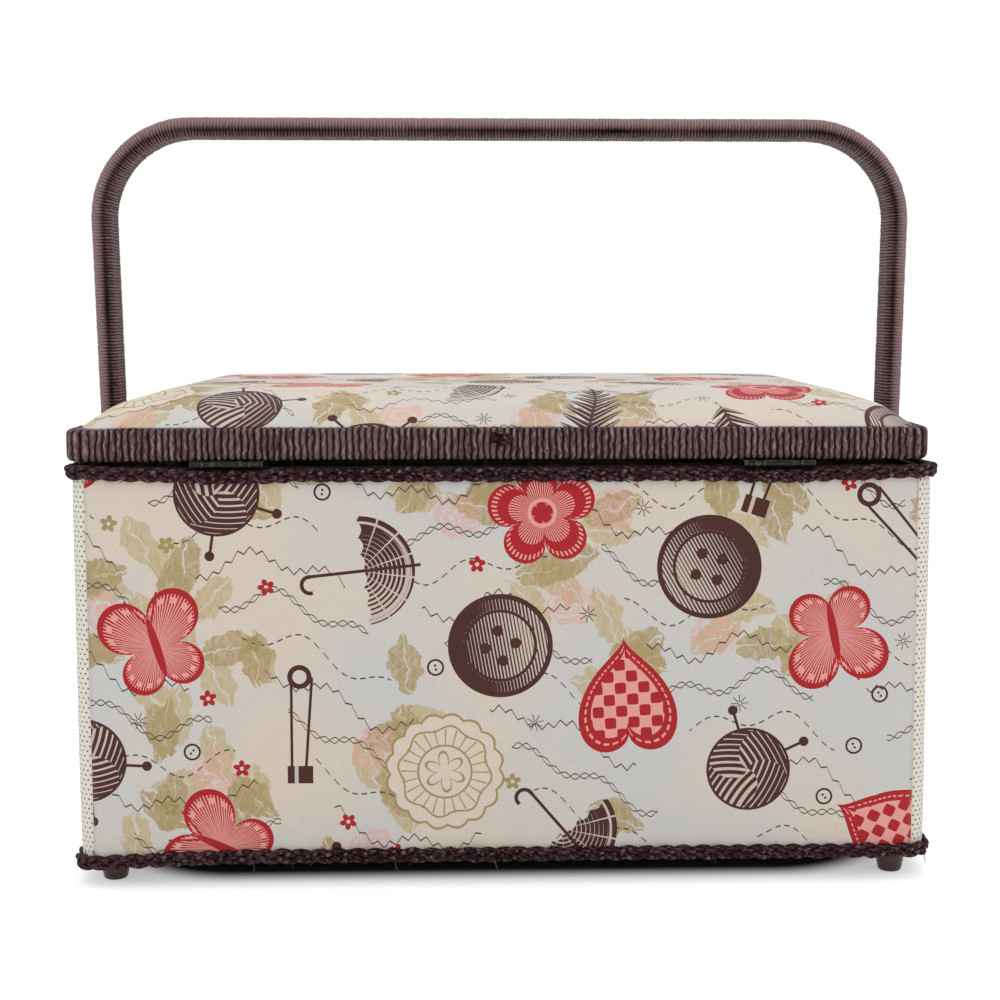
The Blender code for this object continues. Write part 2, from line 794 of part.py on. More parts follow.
def build_handle(parts, cutters, band, cord):
    """The bail: a flat band with an eye at each end, and its winding, ribbed turn by turn."""
    path = handle_path(pivot_height)
    section = rectangle(handle_core_width, handle_core_thickness)
    core = swept("handle_core", path, section, False, cutters, "MINIMUM")
    for side in (-1, 1):
        centre = Vector((side * core_x, 0, pivot_height))
        half = Vector((handle_end_thickness / 2, 0, 0))
        end = cylinder(
            "handle_end", handle_end_radius, centre - half, centre + half, large_round_steps
        )
        boolean(core, cutters, end, "UNION")
        reach = half + Vector((cut_overrun, 0, 0))
        eye = cylinder("handle_eye", handle_eye_radius, centre - reach, centre + reach)
        boolean(core, cutters, eye)
    keep(core, parts, band)
    wrapped = handle_path(pivot_height + handle_bare_length)
    turns = evenly_along(wrapped, 2 * handle_rib_count, False)
    crest, valley = handle_section(0), handle_section(handle_rib_depth)
    winding = wound("handle_winding", turns, crest, valley, (0, 1, 0), False)
    bore = rectangle(handle_core_width + 2 * touch_gap, handle_core_thickness + 2 * touch_gap)
    boolean(winding, cutters, swept("handle_bore", path, bore, False, cutters, "MINIMUM"))
    keep(winding, parts, cord)


def build_pivots(parts, cutters, steel, walls):
    """On each side a bolt through the handle's eye, a spacer and the wall, and a low nut inside."""
    shank_end = nut_x - pivot_nut_thickness - touch_gap
    for side, sign in (("left", -1), ("right", 1)):
        turn = (0, sign * math.pi / 2, 0)
        dome = [(0, bolt_head_height)]
        for step in range(1, bolt_head_rings + 1):
            angle = math.pi / 2 * step / bolt_head_rings
            dome.append((bolt_head_radius * math.sin(angle), bolt_head_height * math.cos(angle)))
        reach = shank_end - bolt_head_x
        bolt = turned(f"{side}_pivot_bolt", [*dome, (bolt_radius, 0), (bolt_radius, reach), (0, reach)])
        bolt.location = (sign * bolt_head_x, 0, pivot_height)
        bolt.rotation_euler = turn
        keep(bolt, parts, steel)
        pieces = (
            (f"{side}_pivot_spacer", spacer_radius, body_width / 2 + touch_gap, spacer_thickness),
            (f"{side}_pivot_nut", pivot_nut_radius, shank_end + touch_gap, pivot_nut_thickness),
        )
        for name, radius, near, thickness in pieces:
            start = Vector((sign * near, 0, pivot_height))
            end = Vector((sign * (near + thickness), 0, pivot_height))
            ring = cylinder(name, radius, start, end, large_round_steps)
            past = Vector((sign * cut_overrun, 0, 0))
            hole = cylinder(name + "_hole", pivot_hole_radius, start - past, end + past)
            keep(boolean(ring, cutters, hole), parts, steel)
        for wall in walls[side]:
            start = Vector((sign * (inner_width / 2 - cut_overrun), 0, pivot_height))
            end = Vector((sign * (body_width / 2 + cut_overrun), 0, pivot_height))
            boolean(wall, cutters, cylinder(f"{wall.name}_hole", pivot_hole_radius, start, end))


def build_closure(parts, cutters, plastic, leather, elastic):
    """A shank button on the front, and on the lid a tab whose elastic loop hangs above the button."""
    profile = [(out * button_radius, up * button_thickness) for out, up in button_profile_shares]
    foot = touch_gap - button_shank_length
    profile += [(button_shank_radius, 0), (button_shank_radius, foot), (0, foot)]
    button = turned("closure_button", profile)
    button.location = (0, button_back_y, button_height)
    button.rotation_euler = (-math.pi / 2, 0, 0)
    keep(button, parts, plastic)
    low = (-tab_width / 2, tab_back_y, tab_bottom)
    high = (tab_width / 2, tab_back_y + tab_thickness, tab_bottom + tab_height)
    keep(bevel(box("closure_tab", low, high), tab_edge), parts, leather)
    half = loop_inner_width / 2 + loop_cord_radius
    points = [(-half, 0)]
    for step in range(loop_steps + 1):
        angle = math.pi * (1 + step / loop_steps)
        z = half + loop_cord_radius - loop_length + half * math.sin(angle)
        points.append((half * math.cos(angle), z))
    points.append((half, 0))
    curve = bpy.data.curves.new("closure_loop", "CURVE")
    curve.dimensions = "3D"
    curve.bevel_depth = loop_cord_radius
    curve.bevel_resolution = 2
    curve.use_fill_caps = True
    spline = curve.splines.new("POLY")
    spline.points.add(len(points) - 1)
    for point, (x, z) in zip(spline.points, points):
        point.co = (x, 0, z, 1)
    loop = bpy.data.objects.new("closure_loop", curve)
    loop.location = (0, loop_pivot_y, loop_pivot_z)
    parts.objects.link(loop)
    keep(loop, parts, elastic)


def build_tray(parts, cutters, ivory, board):
    """The lift-out tray with its compartments, and the two ledges that carry it."""
    low, high = tray_bottom, tray_bottom + tray_height
    outline = rounded_rectangle(tray_width, tray_depth, tray_corner_radius)
    tray = flat_piece("tray", outline, low, high)
    inside_width = tray_width - 2 * tray_wall
    inside_depth = tray_depth - 2 * tray_wall
    depth_left = inside_depth - (len(tray_row_shares) - 1) * tray_wall
    front = tray_depth / 2 - tray_wall
    for row_share, column_shares in tray_row_shares:
        back = front - row_share * depth_left
        width_left = inside_width - (len(column_shares) - 1) * tray_wall
        left = -inside_width / 2
        for share in column_shares:
            right = left + share * width_left
            corner = (left, back, low + tray_wall), (right, front, high + cut_overrun + tray_pocket_radius)
            pocket = bevel(box("tray_pocket", *corner), tray_pocket_radius)
            boolean(tray, cutters, pocket)
            left = right + tray_wall
        front = back - tray_wall
    keep(tray, parts, ivory)
    half = inner_depth / 2 * ledge_length_share
    for side, sign in (("left", -1), ("right", 1)):
        wall = sign * (inner_width / 2 - touch_gap)
        edge = wall - sign * ledge_width
        corner = (min(wall, edge), -half, ledge_top - ledge_height), (max(wall, edge), half, ledge_top)
        keep(bevel(box(f"{side}_ledge", *corner), ledge_edge, 1), parts, board)


def main():
    clear_scene()
    parts = new_collection("Sewing basket")
    cutters = new_collection("Cutters", hidden=True)
    board = new_material("board", "9a8463", 0.8)
    fabric = new_material("printed_fabric", "dcd8d0", 0.85)
    dotted = new_material("dotted_fabric", "dfdedb", 0.85)
    wadding = new_material("wadding", "e8e6df", 0.95)
    lining = new_material("lining_cloth", "e6dfd0", 0.8)
    pin_fabric = new_material("pincushion_cloth", "b5202a", 0.85)
    cord = new_material("twisted_paper_cord", "6f5d61", 0.7)
    plait = new_material("plaited_cord", "3c282d", 0.75)
    plastic = new_material("dark_plastic", "2a0c0c", 0.4)
    steel = new_material("blackened_steel", "23302c", 0.45, 0.8)
    leather = new_material("dark_leather", "3a2420", 0.6)
    elastic = new_material("elastic_cord", "4a1a1c", 0.7)
    ivory = new_material("ivory_plastic", "efe9da", 0.35)

    left_board, right_board = build_boards(parts, board)
    covers = build_covers(parts, fabric, dotted)
    tub = build_lining(parts, lining)
    build_feet(parts, plastic)
    build_braids(parts, cutters, plait)
    build_hinges(parts, cutters, steel)
    build_rim(parts, cutters, board, cord)
    build_lid(parts, board, wadding, fabric, lining)
    build_lid_inside(parts, lining, pin_fabric)
    build_handle(parts, cutters, board, cord)
    walls = {
        "left": (covers["left_cover"], left_board, tub),
        "right": (covers["right_cover"], right_board, tub),
    }
    build_pivots(parts, cutters, steel, walls)
    build_closure(parts, cutters, plastic, leather, elastic)
    build_tray(parts, cutters, ivory, board)


main()
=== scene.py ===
"""Looks of a fabric-covered sewing basket: printed cotton over wadding, wound and plaited paper cord.

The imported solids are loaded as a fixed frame, in metres with +Z up. Soft and wound pieces are made
here in the space of their solids. Rigid pieces keep their solids and get a finish.
"""

import json
import math

import bpy
import numpy as np
from bpy.props import FloatProperty, FloatVectorProperty, PointerProperty
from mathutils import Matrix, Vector

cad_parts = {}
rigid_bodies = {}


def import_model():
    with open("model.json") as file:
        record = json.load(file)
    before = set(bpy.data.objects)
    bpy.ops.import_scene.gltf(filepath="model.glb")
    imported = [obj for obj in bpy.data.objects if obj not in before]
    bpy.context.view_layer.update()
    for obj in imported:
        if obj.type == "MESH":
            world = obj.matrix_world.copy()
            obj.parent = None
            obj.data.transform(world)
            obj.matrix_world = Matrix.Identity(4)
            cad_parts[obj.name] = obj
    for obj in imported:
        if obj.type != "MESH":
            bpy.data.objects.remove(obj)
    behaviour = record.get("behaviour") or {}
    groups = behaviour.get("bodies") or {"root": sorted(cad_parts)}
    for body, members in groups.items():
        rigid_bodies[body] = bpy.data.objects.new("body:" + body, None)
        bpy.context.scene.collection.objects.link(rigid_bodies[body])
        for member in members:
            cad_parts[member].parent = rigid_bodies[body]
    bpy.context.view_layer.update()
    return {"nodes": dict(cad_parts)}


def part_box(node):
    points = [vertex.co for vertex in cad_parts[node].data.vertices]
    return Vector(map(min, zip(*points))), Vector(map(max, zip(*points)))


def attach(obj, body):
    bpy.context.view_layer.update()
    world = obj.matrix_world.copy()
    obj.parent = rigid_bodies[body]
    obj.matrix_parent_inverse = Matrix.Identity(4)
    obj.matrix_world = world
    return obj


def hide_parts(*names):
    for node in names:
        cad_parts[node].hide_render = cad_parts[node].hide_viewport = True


bl_info = {
    "name": "Sewing basket looks",
    "version": (1, 0, 0),
    "blender": (4, 5, 0),
    "location": "View3D > Sidebar > Basket",
    "description": "Makes the fabric, cord, padding and finishes of a sewing basket",
    "category": "Object",
}

MM = 0.001
TURN = 2 * math.pi

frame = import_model()
nodes = frame["nodes"]


def linear(hex_colour):
    """Linear red, green and blue of an sRGB colour written as RRGGBB."""
    values = []
    for start in (0, 2, 4):
        value = int(hex_colour[start : start + 2], 16) / 255
        values.append(value / 12.92 if value <= 0.04045 else ((value + 0.055) / 1.055) ** 2.4)
    return tuple(values)


def colour(name, hex_colour, text):
    return FloatVectorProperty(
        name=name, description=text, default=linear(hex_colour), subtype="COLOR", size=3, min=0, max=1
    )


def length(name, size, text):
    return FloatProperty(name=name, description=text, default=size, unit="LENGTH", min=0, precision=5)


class BasketColours(bpy.types.PropertyGroup):
    """Colours of the cloth, the cords and the fittings"""

    ground: colour("Ground", "d6ccc3", "Unprinted cotton")
    ground_cool: colour("Cool ground", "cacecd", "Washed-out blue grey patches of the print")
    ground_warm: colour("Warm ground", "ddcfbe", "Cream patches of the print")
    leaf: colour("Leaf", "b09a6c", "Tan leaves of the print")
    leaf_pale: colour("Pale leaf", "c3b288", "Paler leaves behind the tan ones")
    rose: colour("Rose", "e5a59a", "Pink hatched roses among the leaves")
    red: colour("Red", "ad0e16", "Red ink of the print")
    pink: colour("Pink", "e9a199", "Red ink printed as a tint")
    brown: colour("Brown", "431812", "Dark brown ink of the print")
    brown_tint: colour("Brown tint", "cbbdb2", "Brown ink printed as a tint")
    olive: colour("Olive", "a1915c", "Olive ink of the print")
    line: colour("Line", "3f3530", "Thin stitch lines of the print")
    dotted: colour("Dotted cotton", "e6e2d6", "Cotton of the two ends")
    dot: colour("Dots", "544a45", "Pin dots of the two ends")
    cord: colour("Cord", "7b6063", "Twisted paper cord of rim and handle")
    cord_red: colour("Reddish cord", "5f4347", "The cord where its dye took more red")
    # The handle's cord is drawn paler than the rim's.
    cord_on_handle: colour("Handle's cord", "8f6d71", "The handle's cord, paler than the rim's")
    # Painted highlight: the pale glints on the cord's crests and the lit side of the handle's cord.
    cord_highlight: colour("Cord highlight", "9d8987", "Painted highlight of the cord's crests and of the handle's lit side")
    cord_gap: colour("Cord gap", "120506", "Shade between two turns")
    plait: colour("Plait", "52373c", "Plaited cord of the body's edges")
    plait_dark: colour("Dark plait", "31161b", "Darker strands of the plait")
    plait_gap: colour("Plait gap", "0b0304", "Shade between the strands")
    lining: colour("Lining", "ddd3bf", "Lining cloth")
    binding: colour("Binding", "6a2a2c", "Binding of the pocket and of the lid's lining")
    pincushion: colour("Pincushion", "a51c26", "Pincushion cloth")
    thread: colour("Thread", "e7dfcf", "Sewing thread")
    elastic: colour("Elastic", "4a1a1c", "Elastic cord")
    foot: colour("Feet", "3a1212", "Moulded feet")
    button: colour("Button", "4a1416", "Closure button")
    steel: colour("Steel", "151312", "Blackened hinges")
    # Also the painted highlight along the hinges' edges.
    steel_wear_and_highlight: colour("Steel wear and highlight", "a39d94", "Hinges where the black is rubbed off, and their painted edge highlight")
    brass: colour("Brass", "7a6036", "Antiqued pivots")
    # Also the painted highlight along the pivots' edges.
    brass_wear_and_highlight: colour("Brass wear and highlight", "c0a066", "Pivots where they are rubbed bright, and their painted edge highlight")
    leather: colour("Leather", "3a2420", "Closure tab")
    tray: colour("Tray", "e9e2d2", "Moulded tray")
    # Painted shade: the boards are drawn near black, so their top edges seen in the gap under the rim read
    # as shadow.
    board: colour("Board", "2b1d18", "Boards, ledges and bands")


class BasketSizes(bpy.types.PropertyGroup):
    """Sizes of the cloth, the cords and the print"""

    turn_pitch: length("Turn pitch", 2.62 * MM, "From one turn of the rim's cord to the next")
    handle_pitch: length("Handle pitch", 1.45 * MM, "From one turn of the handle's cord to the next")
    ply_pitch: length("Ply pitch", 4.6 * MM, "From one crossing of the cord's two plies to the next")
    groove: length("Groove", 0.95 * MM, "Depth between two turns of the rim's cord")
    handle_groove: length("Handle groove", 0.3 * MM, "Depth between two turns of the handle's cord")
    plait_period: length("Plait period", 23 * MM, "A strand's way across the plait and back")
    plait_ply: length("Plait ply", 3.2 * MM, "From one crossing of a strand's plies to the next")
    puff: length("Puff", 0.9 * MM, "How far the wadding swells a side")
    pucker: length("Pucker", 0.3 * MM, "Height of the pulls at a side's edges")
    motif_cell: length("Motif spacing", 61 * MM, "From one large printed motif to the next")
    motif_radius: length("Motif radius", 26 * MM, "Half the width of a large printed motif")
    small_cell: length("Small motif spacing", 24 * MM, "From one small printed motif to the next")
    leaf_cell: length("Leaf spacing", 31 * MM, "From one printed leaf to the next in its layer")
    stitch_row: length("Stitch rows", 16 * MM, "From one printed line of stitches to the next")
    dot_pitch: length("Dot pitch", 2.3 * MM, "From one pin dot to the next")
    weave: length("Weave", 0.7 * MM, "Thread spacing, drawn twice as coarse as real to show")
    swell: length("Swell cap", 1.1 * MM, "How far the lid's padding may swell in the simulation")
    quilting: length("Quilting", 27 * MM, "From one channel of the floor mat to the next")


class BasketStage(bpy.types.PropertyGroup):
    """The light and the camera"""

    lamps: FloatProperty(
        name="Lamps", description="Power of the front lamp", default=4.2, min=0, unit="POWER"
    )
    sky: FloatProperty(
        name="Sky", description="Strength of the light from all round", default=0.74, min=0
    )
    focal_length: FloatProperty(
        name="Lens", description="Focal length", default=63, min=1, unit="CAMERA"
    )


def colours():
    return bpy.context.scene.basket_colours


def sizes():
    return bpy.context.scene.basket_sizes


FAMILIES = ("ShaderNode", "GeometryNode", "FunctionNode", "Node")
SIGNS = {
    "+": "ADD",
    "-": "SUBTRACT",
    "*": "MULTIPLY",
    "*+": "MULTIPLY_ADD",
    "/": "DIVIDE",
    "^": "POWER",
    "<": "LESS_THAN",
    ">": "GREATER_THAN",
    "~": "COMPARE",
    "max": "MAXIMUM",
    "min": "MINIMUM",
    "abs": "ABSOLUTE",
    "sin": "SINE",
    "cos": "COSINE",
    "atan": "ARCTAN2",
    "exp": "EXPONENT",
}


def add(tree, kind, inputs=(), **settings):
    """A new node with its settings made and its open inputs joined to sockets or given values.

    Its kind is told without the family that the full name starts with. A colour is three numbers.
    """
    family = next(family for family in FAMILIES if hasattr(bpy.types, family + kind))
    node = tree.nodes.new(family + kind)
    for name, value in settings.items():
        setattr(node, name, value)
    sockets = [socket for socket in node.inputs if socket.enabled]
    pairs = inputs.items() if isinstance(inputs, dict) else enumerate(inputs)
    for key, value in pairs:
        socket = sockets[key] if isinstance(key, int) else next(s for s in sockets if s.name == key)
        if isinstance(value, bpy.types.Node):
            value = next(output for output in value.outputs if output.enabled)
        if isinstance(value, bpy.types.NodeSocket):
            tree.links.new(value, socket)
        elif value is not None:
            socket.default_value = (*value, 1.0) if socket.type == "RGBA" else value
    return node


def work_out(tree, known, steps):
    """Chains of maths nodes, one a line: a name, what it starts from, and each sign with its terms.

    A term is a number or a name that is known by then. "*+ 2 3" is times 2 plus 3, and "~ 2 3" is 1
    where the value is within 3 of 2.
    """
    known = dict(known)

    def term(word):
        return known[word] if word in known else float(word)

    for line in steps.strip().splitlines():
        name, chain = line.split(":")
        (start,), *operations = [part.split() for part in chain.split(",")]
        value = term(start)
        for sign, *words in operations:
            inputs = (value, *[term(word) for word in words])
            value = add(tree, "Math", inputs, operation=SIGNS.get(sign, sign.upper()))
        known[name.strip()] = value
    return known


def surface(name):
    """An empty node material and its tree."""
    material = bpy.data.materials.new(name)
    material.use_nodes = True
    material.node_tree.nodes.clear()
    return material, material.node_tree


def shaded(tree, base, height=None, depth=0.1 * MM, strength=1.0, **values):
    """Ends a material's tree with a Principled shader, and with a bump where a height is given."""
    inputs = {"Base Color": base}
    if height is not None:
        bump = {"Strength": strength, "Distance": depth, "Height": height}
        inputs["Normal"] = add(tree, "Bump", bump)
    for key, value in values.items():
        inputs[key.replace("_", " ").title().replace("Ior", "IOR")] = value
    shader = add(tree, "BsdfPrincipled", inputs)
    add(tree, "OutputMaterial", {"Surface": shader})


# The print. Each motif is drawn in a disk of radius 1, from x and y, the radius r and the angle a.
# Its line is full ink and its tint is the same ink printed as a light tone.
FLOWER = """
edge: a, * 2.5, cos, abs, ^ 0.5, *+ 0.4 0.46
q: r, / edge
tint: q, < 1
ray: a, * 11.14, fract
near: q, ~ 0.42 0.2
far: q, ~ 0.88 0.05
shade: near, *+ -0.5 1
shade: far, *+ -0.45 shade
line: ray, < shade
halo: r, ~ 0.2 0.03
line: line, - halo, * tint
"""
BUTTON = """
ring: r, ~ 0.78 0.04
inner: r, ~ 0.55 0.025
hx: x, abs, - 0.17
hy: y, abs, - 0.17
hx: hx, * hx
hole: hy, *+ hy hx, < 0.0075
slope: x, + y
ray: slope, * 13, fract
bend: r, ~ 0.67 0.09
shade: slope, *+ -0.45 0.55
dark: bend, *+ 0.3 shade
hatch: ray, < dark
tint: r, < 0.82
line: ring, max inner, max hole, max hatch, * tint
"""
HEART = """
lobe: x, abs, sqrt, *+ -0.62 y, + 0.14
hx: x, * x
q: lobe, *+ lobe hx, sqrt
tint: q, < 0.78
seam: q, ~ 0.67 0.016
dash: a, * 6.4, fract, < 0.62
seam: seam, * dash
warp: x, * 17, sin
weft: y, * 17, sin
dots: warp, * weft, > -0.06
inner: q, < 0.58
pale: dots, * inner, max seam
line: tint, - pale
"""
YARN = """
ball: r, < 0.66
rim: r, ~ 0.645 0.02
part: a, * 0.159
way: r, *+ 0.33 part, fract, * 4, floor, * 0.9
cos: way, cos
sin: way, sin
along: x, * cos
along: y, *+ sin along
ray: r, * r, *+ 0.3 along, * 9.5, fract
shade: along, *+ 0.45 0.6
line: ray, < shade, * ball, max rim
hx: x, abs
rod: hx, *+ -1.15 y, ~ 0.05 0.035
reach: r, ~ 0.83 0.19
rod: rod, * reach
knob: hx, - 0.62
knob: knob, * knob
up: y, - 0.76
knob: up, *+ up knob, < 0.006
line: line, max rod, max knob
tint: ball, max line
"""
BUTTERFLY = """
wx: x, abs
t: y, atan wx
lobe: t, * 1.9, sin, abs, ^ 0.6
low: t, < 0, *+ -0.2 0.72
edge: lobe, *+ low 0.28
q: r, / edge
tint: q, < 1
rim: q, > 0.9
vein: t, * 4, fract
spot: q, ~ 0.8 0.05
gap: vein, > 0.45
spot: spot, * gap
vein: vein, < 0.12
fine: t, * 16, fract
shade: q, *+ 0.8 0.1, * 0.75
fine: fine, < shade
line: rim, max vein, max fine, - spot, * tint
bx: x, * 15
bx: bx, * bx
by: y, * 2.1
body: by, *+ by bx, < 1
line: line, max body
horn: y, *+ -0.5 0.16, + wx, ~ 0 0.018
top: y, ~ 0.62 0.22
horn: horn, * top
line: line, max horn
tint: tint, max line
"""
FERN = """
side: y, * 2.2, sin, *+ -0.12 x, abs
stem: side, < 0.02
long: y, ~ 0 0.95
stem: stem, * long
wide: y, * y
wide: 1, - wide, max 0.01, ^ 0.7, * 0.5
out: side, / wide
leaf: side, *+ -0.8 y, * 4.6, fract, - 0.5, abs
taper: 1, - out, max 0, ^ 0.55, * 0.47
fill: leaf, < taper
vein: leaf, > 0.05
inside: out, < 1
tint: fill, * inside
line: tint, * vein, max stem
tint: tint, max stem
"""
LACE = """
wave: a, * 8, cos
edge: wave, abs, *+ 0.07 0.88
hem: r, - edge
tint: hem, < 0
hem: hem, ~ -0.02 0.02
ring: wave, *+ 0.04 0.7
ring: r, - ring, ~ 0 0.016
eye: r, ~ 0.42 0.016
spoke: a, * 3.82, fract, ~ 0.5 0.07
band: r, ~ 0.56 0.13
spoke: spoke, * band
bloom: a, * 3, cos, abs, *+ 0.2 0.12
bloom: r, - bloom, ~ 0 0.022
line: hem, max ring, max eye, max spoke, max bloom, * tint
"""
PIN = """
low: x, *+ 0.07 y, ~ -0.14 0.022
high: y, ~ 0.13 0.022
bars: low, max high
span: x, ~ 0 0.75
bars: bars, * span
cx: x, - 0.76
coil: cx, * cx
coil: y, *+ y coil, sqrt, ~ 0.15 0.04
cap: x, ~ -0.8 0.14
tall: y, abs, < 0.2
cap: cap, * tall
glint: y, ~ 0.06 0.03
line: bars, max coil, max cap
tint: line, max 0
glint: glint, * cap
line: line, - glint
"""
PARASOL = """
part: a, * 2.228, fract, - 0.5
hem: x, abs, * 12, sin, abs, *+ 0.06 0.04
up: y, > hem
dome: r, < 0.86, * up
rib: part, abs, > 0.46
trim: r, ~ 0.76 0.02
pale: rib, max trim
ray: r, * 14, fract
side: x, *+ 0.5 0.3
ray: ray, < side
pale: pale, max ray
line: dome, - pale, max 0
rod: x, abs, < 0.025
long: y, ~ 0.08 0.87
rod: rod, * long
hx: x, - 0.13
hy: y, + 0.79
hook: hx, * hx
hook: hy, *+ hy hook, sqrt, ~ 0.13 0.03
low: y, < -0.76
hook: hook, * low
rod: rod, max hook
line: line, max rod
tint: dome, max rod
"""
# Motifs with their share of the cells and their ink
MOTIFS = (
    (FLOWER, 0.11, "red"),
    (YARN, 0.15, "brown"),
    (HEART, 0.08, "red"),
    (PARASOL, 0.15, "brown"),
    (BUTTERFLY, 0.12, "red"),
    (BUTTON, 0.12, "brown"),
    (FERN, 0.12, "brown"),
    (PIN, 0.07, "brown"),
    (LACE, 0.08, "olive"),
)
# Small motifs, drawn in the same disk: a five-petalled bloom, a star of rays and a two-holed button
SMALL = """
edge: a, * 2.5, cos, abs, *+ 0.42 0.4
bloom: r, < edge
eye: r, > 0.2
bloom: bloom, * eye
ray: a, * 4, sin, abs, * r, < 0.16
span: r, ~ 0.5 0.36
star: ray, * span
ring: r, ~ 0.72 0.1
hx: x, abs, - 0.2
hy: y, * y
hole: hx, *+ hx hy, < 0.014
ring: ring, max hole
"""


def cell_place(tree, vector, size, jitter, spin):
    """Cells of a jittered grid: the place in the nearest one, turned at random, its chances, its middle."""
    scaled = add(tree, "VectorMath", (vector, (1 / size,) * 3), operation="MULTIPLY")
    cells = {"Vector": scaled, "Scale": 1.0, "Randomness": jitter}
    cells = add(tree, "TexVoronoi", cells, voronoi_dimensions="2D")
    middle = cells.outputs["Position"]
    local = add(tree, "VectorMath", (scaled, middle), operation="SUBTRACT")
    chance = add(tree, "SeparateXYZ", (cells.outputs["Color"],))
    angle = add(tree, "Math", (chance.outputs["Y"], spin, -spin / 2), operation="MULTIPLY_ADD")
    turned = add(tree, "VectorRotate", {"Vector": local, "Angle": angle}, rotation_type="Z_AXIS")
    return turned, chance, middle


def disk_place(tree, spot, grow, extra):
    """The names that a motif's steps start from, in a cell whose motif has the radius 1 / grow."""
    known = dict(zip("xy", add(tree, "SeparateXYZ", (spot,)).outputs), **extra)
    steps = f"""
        x: x, * {grow}
        y: y, * {grow}
        r: x, * x
        r: y, *+ y r, sqrt
        a: y, atan x
    """
    return work_out(tree, known, steps)


def in_millimetres(tree):
    """A piece's cloth coordinates, in millimetres."""
    cloth = add(tree, "UVMap", uv_map="cloth")
    return add(tree, "VectorMath", (cloth, (1 / MM,) * 3), operation="MULTIPLY")


def weave_height(tree, place, thread):
    """The bump of a plain weave: warp and weft threads, one over the other by turns."""
    beat = math.pi / (thread / MM)
    known = dict(zip("uv", add(tree, "SeparateXYZ", (place,)).outputs))
    steps = f"""
        warp: u, * {beat}, sin
        weft: v, * {beat}, sin
        over: warp, * weft, *+ 0.5 0.5
    """
    return work_out(tree, known, steps)["over"]


def cotton_finish(tree, base, place, thread):
    """The surface of quilting cotton under its print: threads that shade it a little, and a soft fuzz."""
    over = weave_height(tree, place, thread)
    tone = add(tree, "MapRange", (over, 0.0, 1.0, 0.94, 1.0))
    streak = add(tree, "VectorMath", (place, (3.1, 0.16, 1.0)), operation="MULTIPLY")
    slub = add(tree, "TexNoise", {"Vector": streak, "Scale": 1.0, "Detail": 1.0})
    uneven = add(tree, "MapRange", (slub, 0.3, 0.7, 0.965, 1.015))
    tone = add(tree, "Math", (tone, uneven), operation="MULTIPLY")
    base = add(tree, "VectorMath", (base, tone), operation="MULTIPLY")
    shaded(tree, base, over, 0.07 * MM, 0.7, roughness=0.88, sheen_weight=0.1, sheen_roughness=0.6)


def foliage(tree, place, base):
    """Tan leaves in clusters, painted one over another, with pink hatched roses between them."""
    inks, measure = colours(), sizes()
    hand = add(tree, "TexNoise", {"Vector": place, "Scale": 0.16, "Detail": 2.0}).outputs["Color"]
    hand = add(tree, "VectorMath", (hand, (8, 8, 0), (-4, -4, 0)), operation="MULTIPLY_ADD")
    place = add(tree, "VectorMath", (place, hand), operation="ADD")
    brush = add(tree, "VectorMath", (place, (0.9, 0.22, 1.0)), operation="MULTIPLY")
    brush = add(tree, "TexNoise", {"Vector": brush, "Scale": 1.0, "Detail": 2.0})
    cover = add(tree, "MapRange", (brush, 0.4, 0.68, 1.0, 0.5))
    cell = measure.leaf_cell / MM
    layers = ((0.0, inks.leaf_pale), (171.0, inks.leaf_pale), (389.0, inks.leaf), (641.0, inks.leaf))
    for shift, ink in layers:
        moved = add(tree, "VectorMath", (place, (shift, shift, 0)), operation="ADD")
        spot, _, middle = cell_place(tree, moved, cell, 0.35, TURN)
        centre = add(tree, "VectorMath", (middle, (cell,) * 3), operation="MULTIPLY")
        centre = add(tree, "VectorMath", (centre, (shift, shift, 0)), operation="SUBTRACT")
        group = add(tree, "TexNoise", {"Vector": centre, "Scale": 0.0145, "Detail": 1.0})
        known = dict(zip("xy", add(tree, "SeparateXYZ", (spot,)).outputs), group=group, cover=cover)
        steps = """
            wide: x, * x, *+ -1.15 0.22
            wide: x, * 19, fract, *+ -0.02 wide
            side: y, abs
            leaf: side, < wide
            vein: side, > 0.011
            leaf: leaf, * vein
            near: group, > 0.53
            leaf: leaf, * near, * cover
        """
        base = add(tree, "Mix", (work_out(tree, known, steps)["leaf"], base, ink), data_type="RGBA")

    cell = 1.6 * cell
    spot, _, middle = cell_place(tree, place, cell, 0.4, TURN)
    centre = add(tree, "VectorMath", (middle, (cell,) * 3), operation="MULTIPLY")
    group = add(tree, "TexNoise", {"Vector": centre, "Scale": 0.0145, "Detail": 1.0})
    known = disk_place(tree, spot, 5.0, {"group": group})
    steps = f"""
        curl: a, * {1 / TURN}
        petal: r, *+ 2.6 curl, fract, < 0.72
        hatch: x, + y, * 7, fract, < 0.62
        rose: r, < 0.95, * petal, * hatch
        near: group, > 0.52
        rose: rose, * near, * 0.75
    """
    return add(tree, "Mix", (work_out(tree, known, steps)["rose"], base, inks.rose), data_type="RGBA")


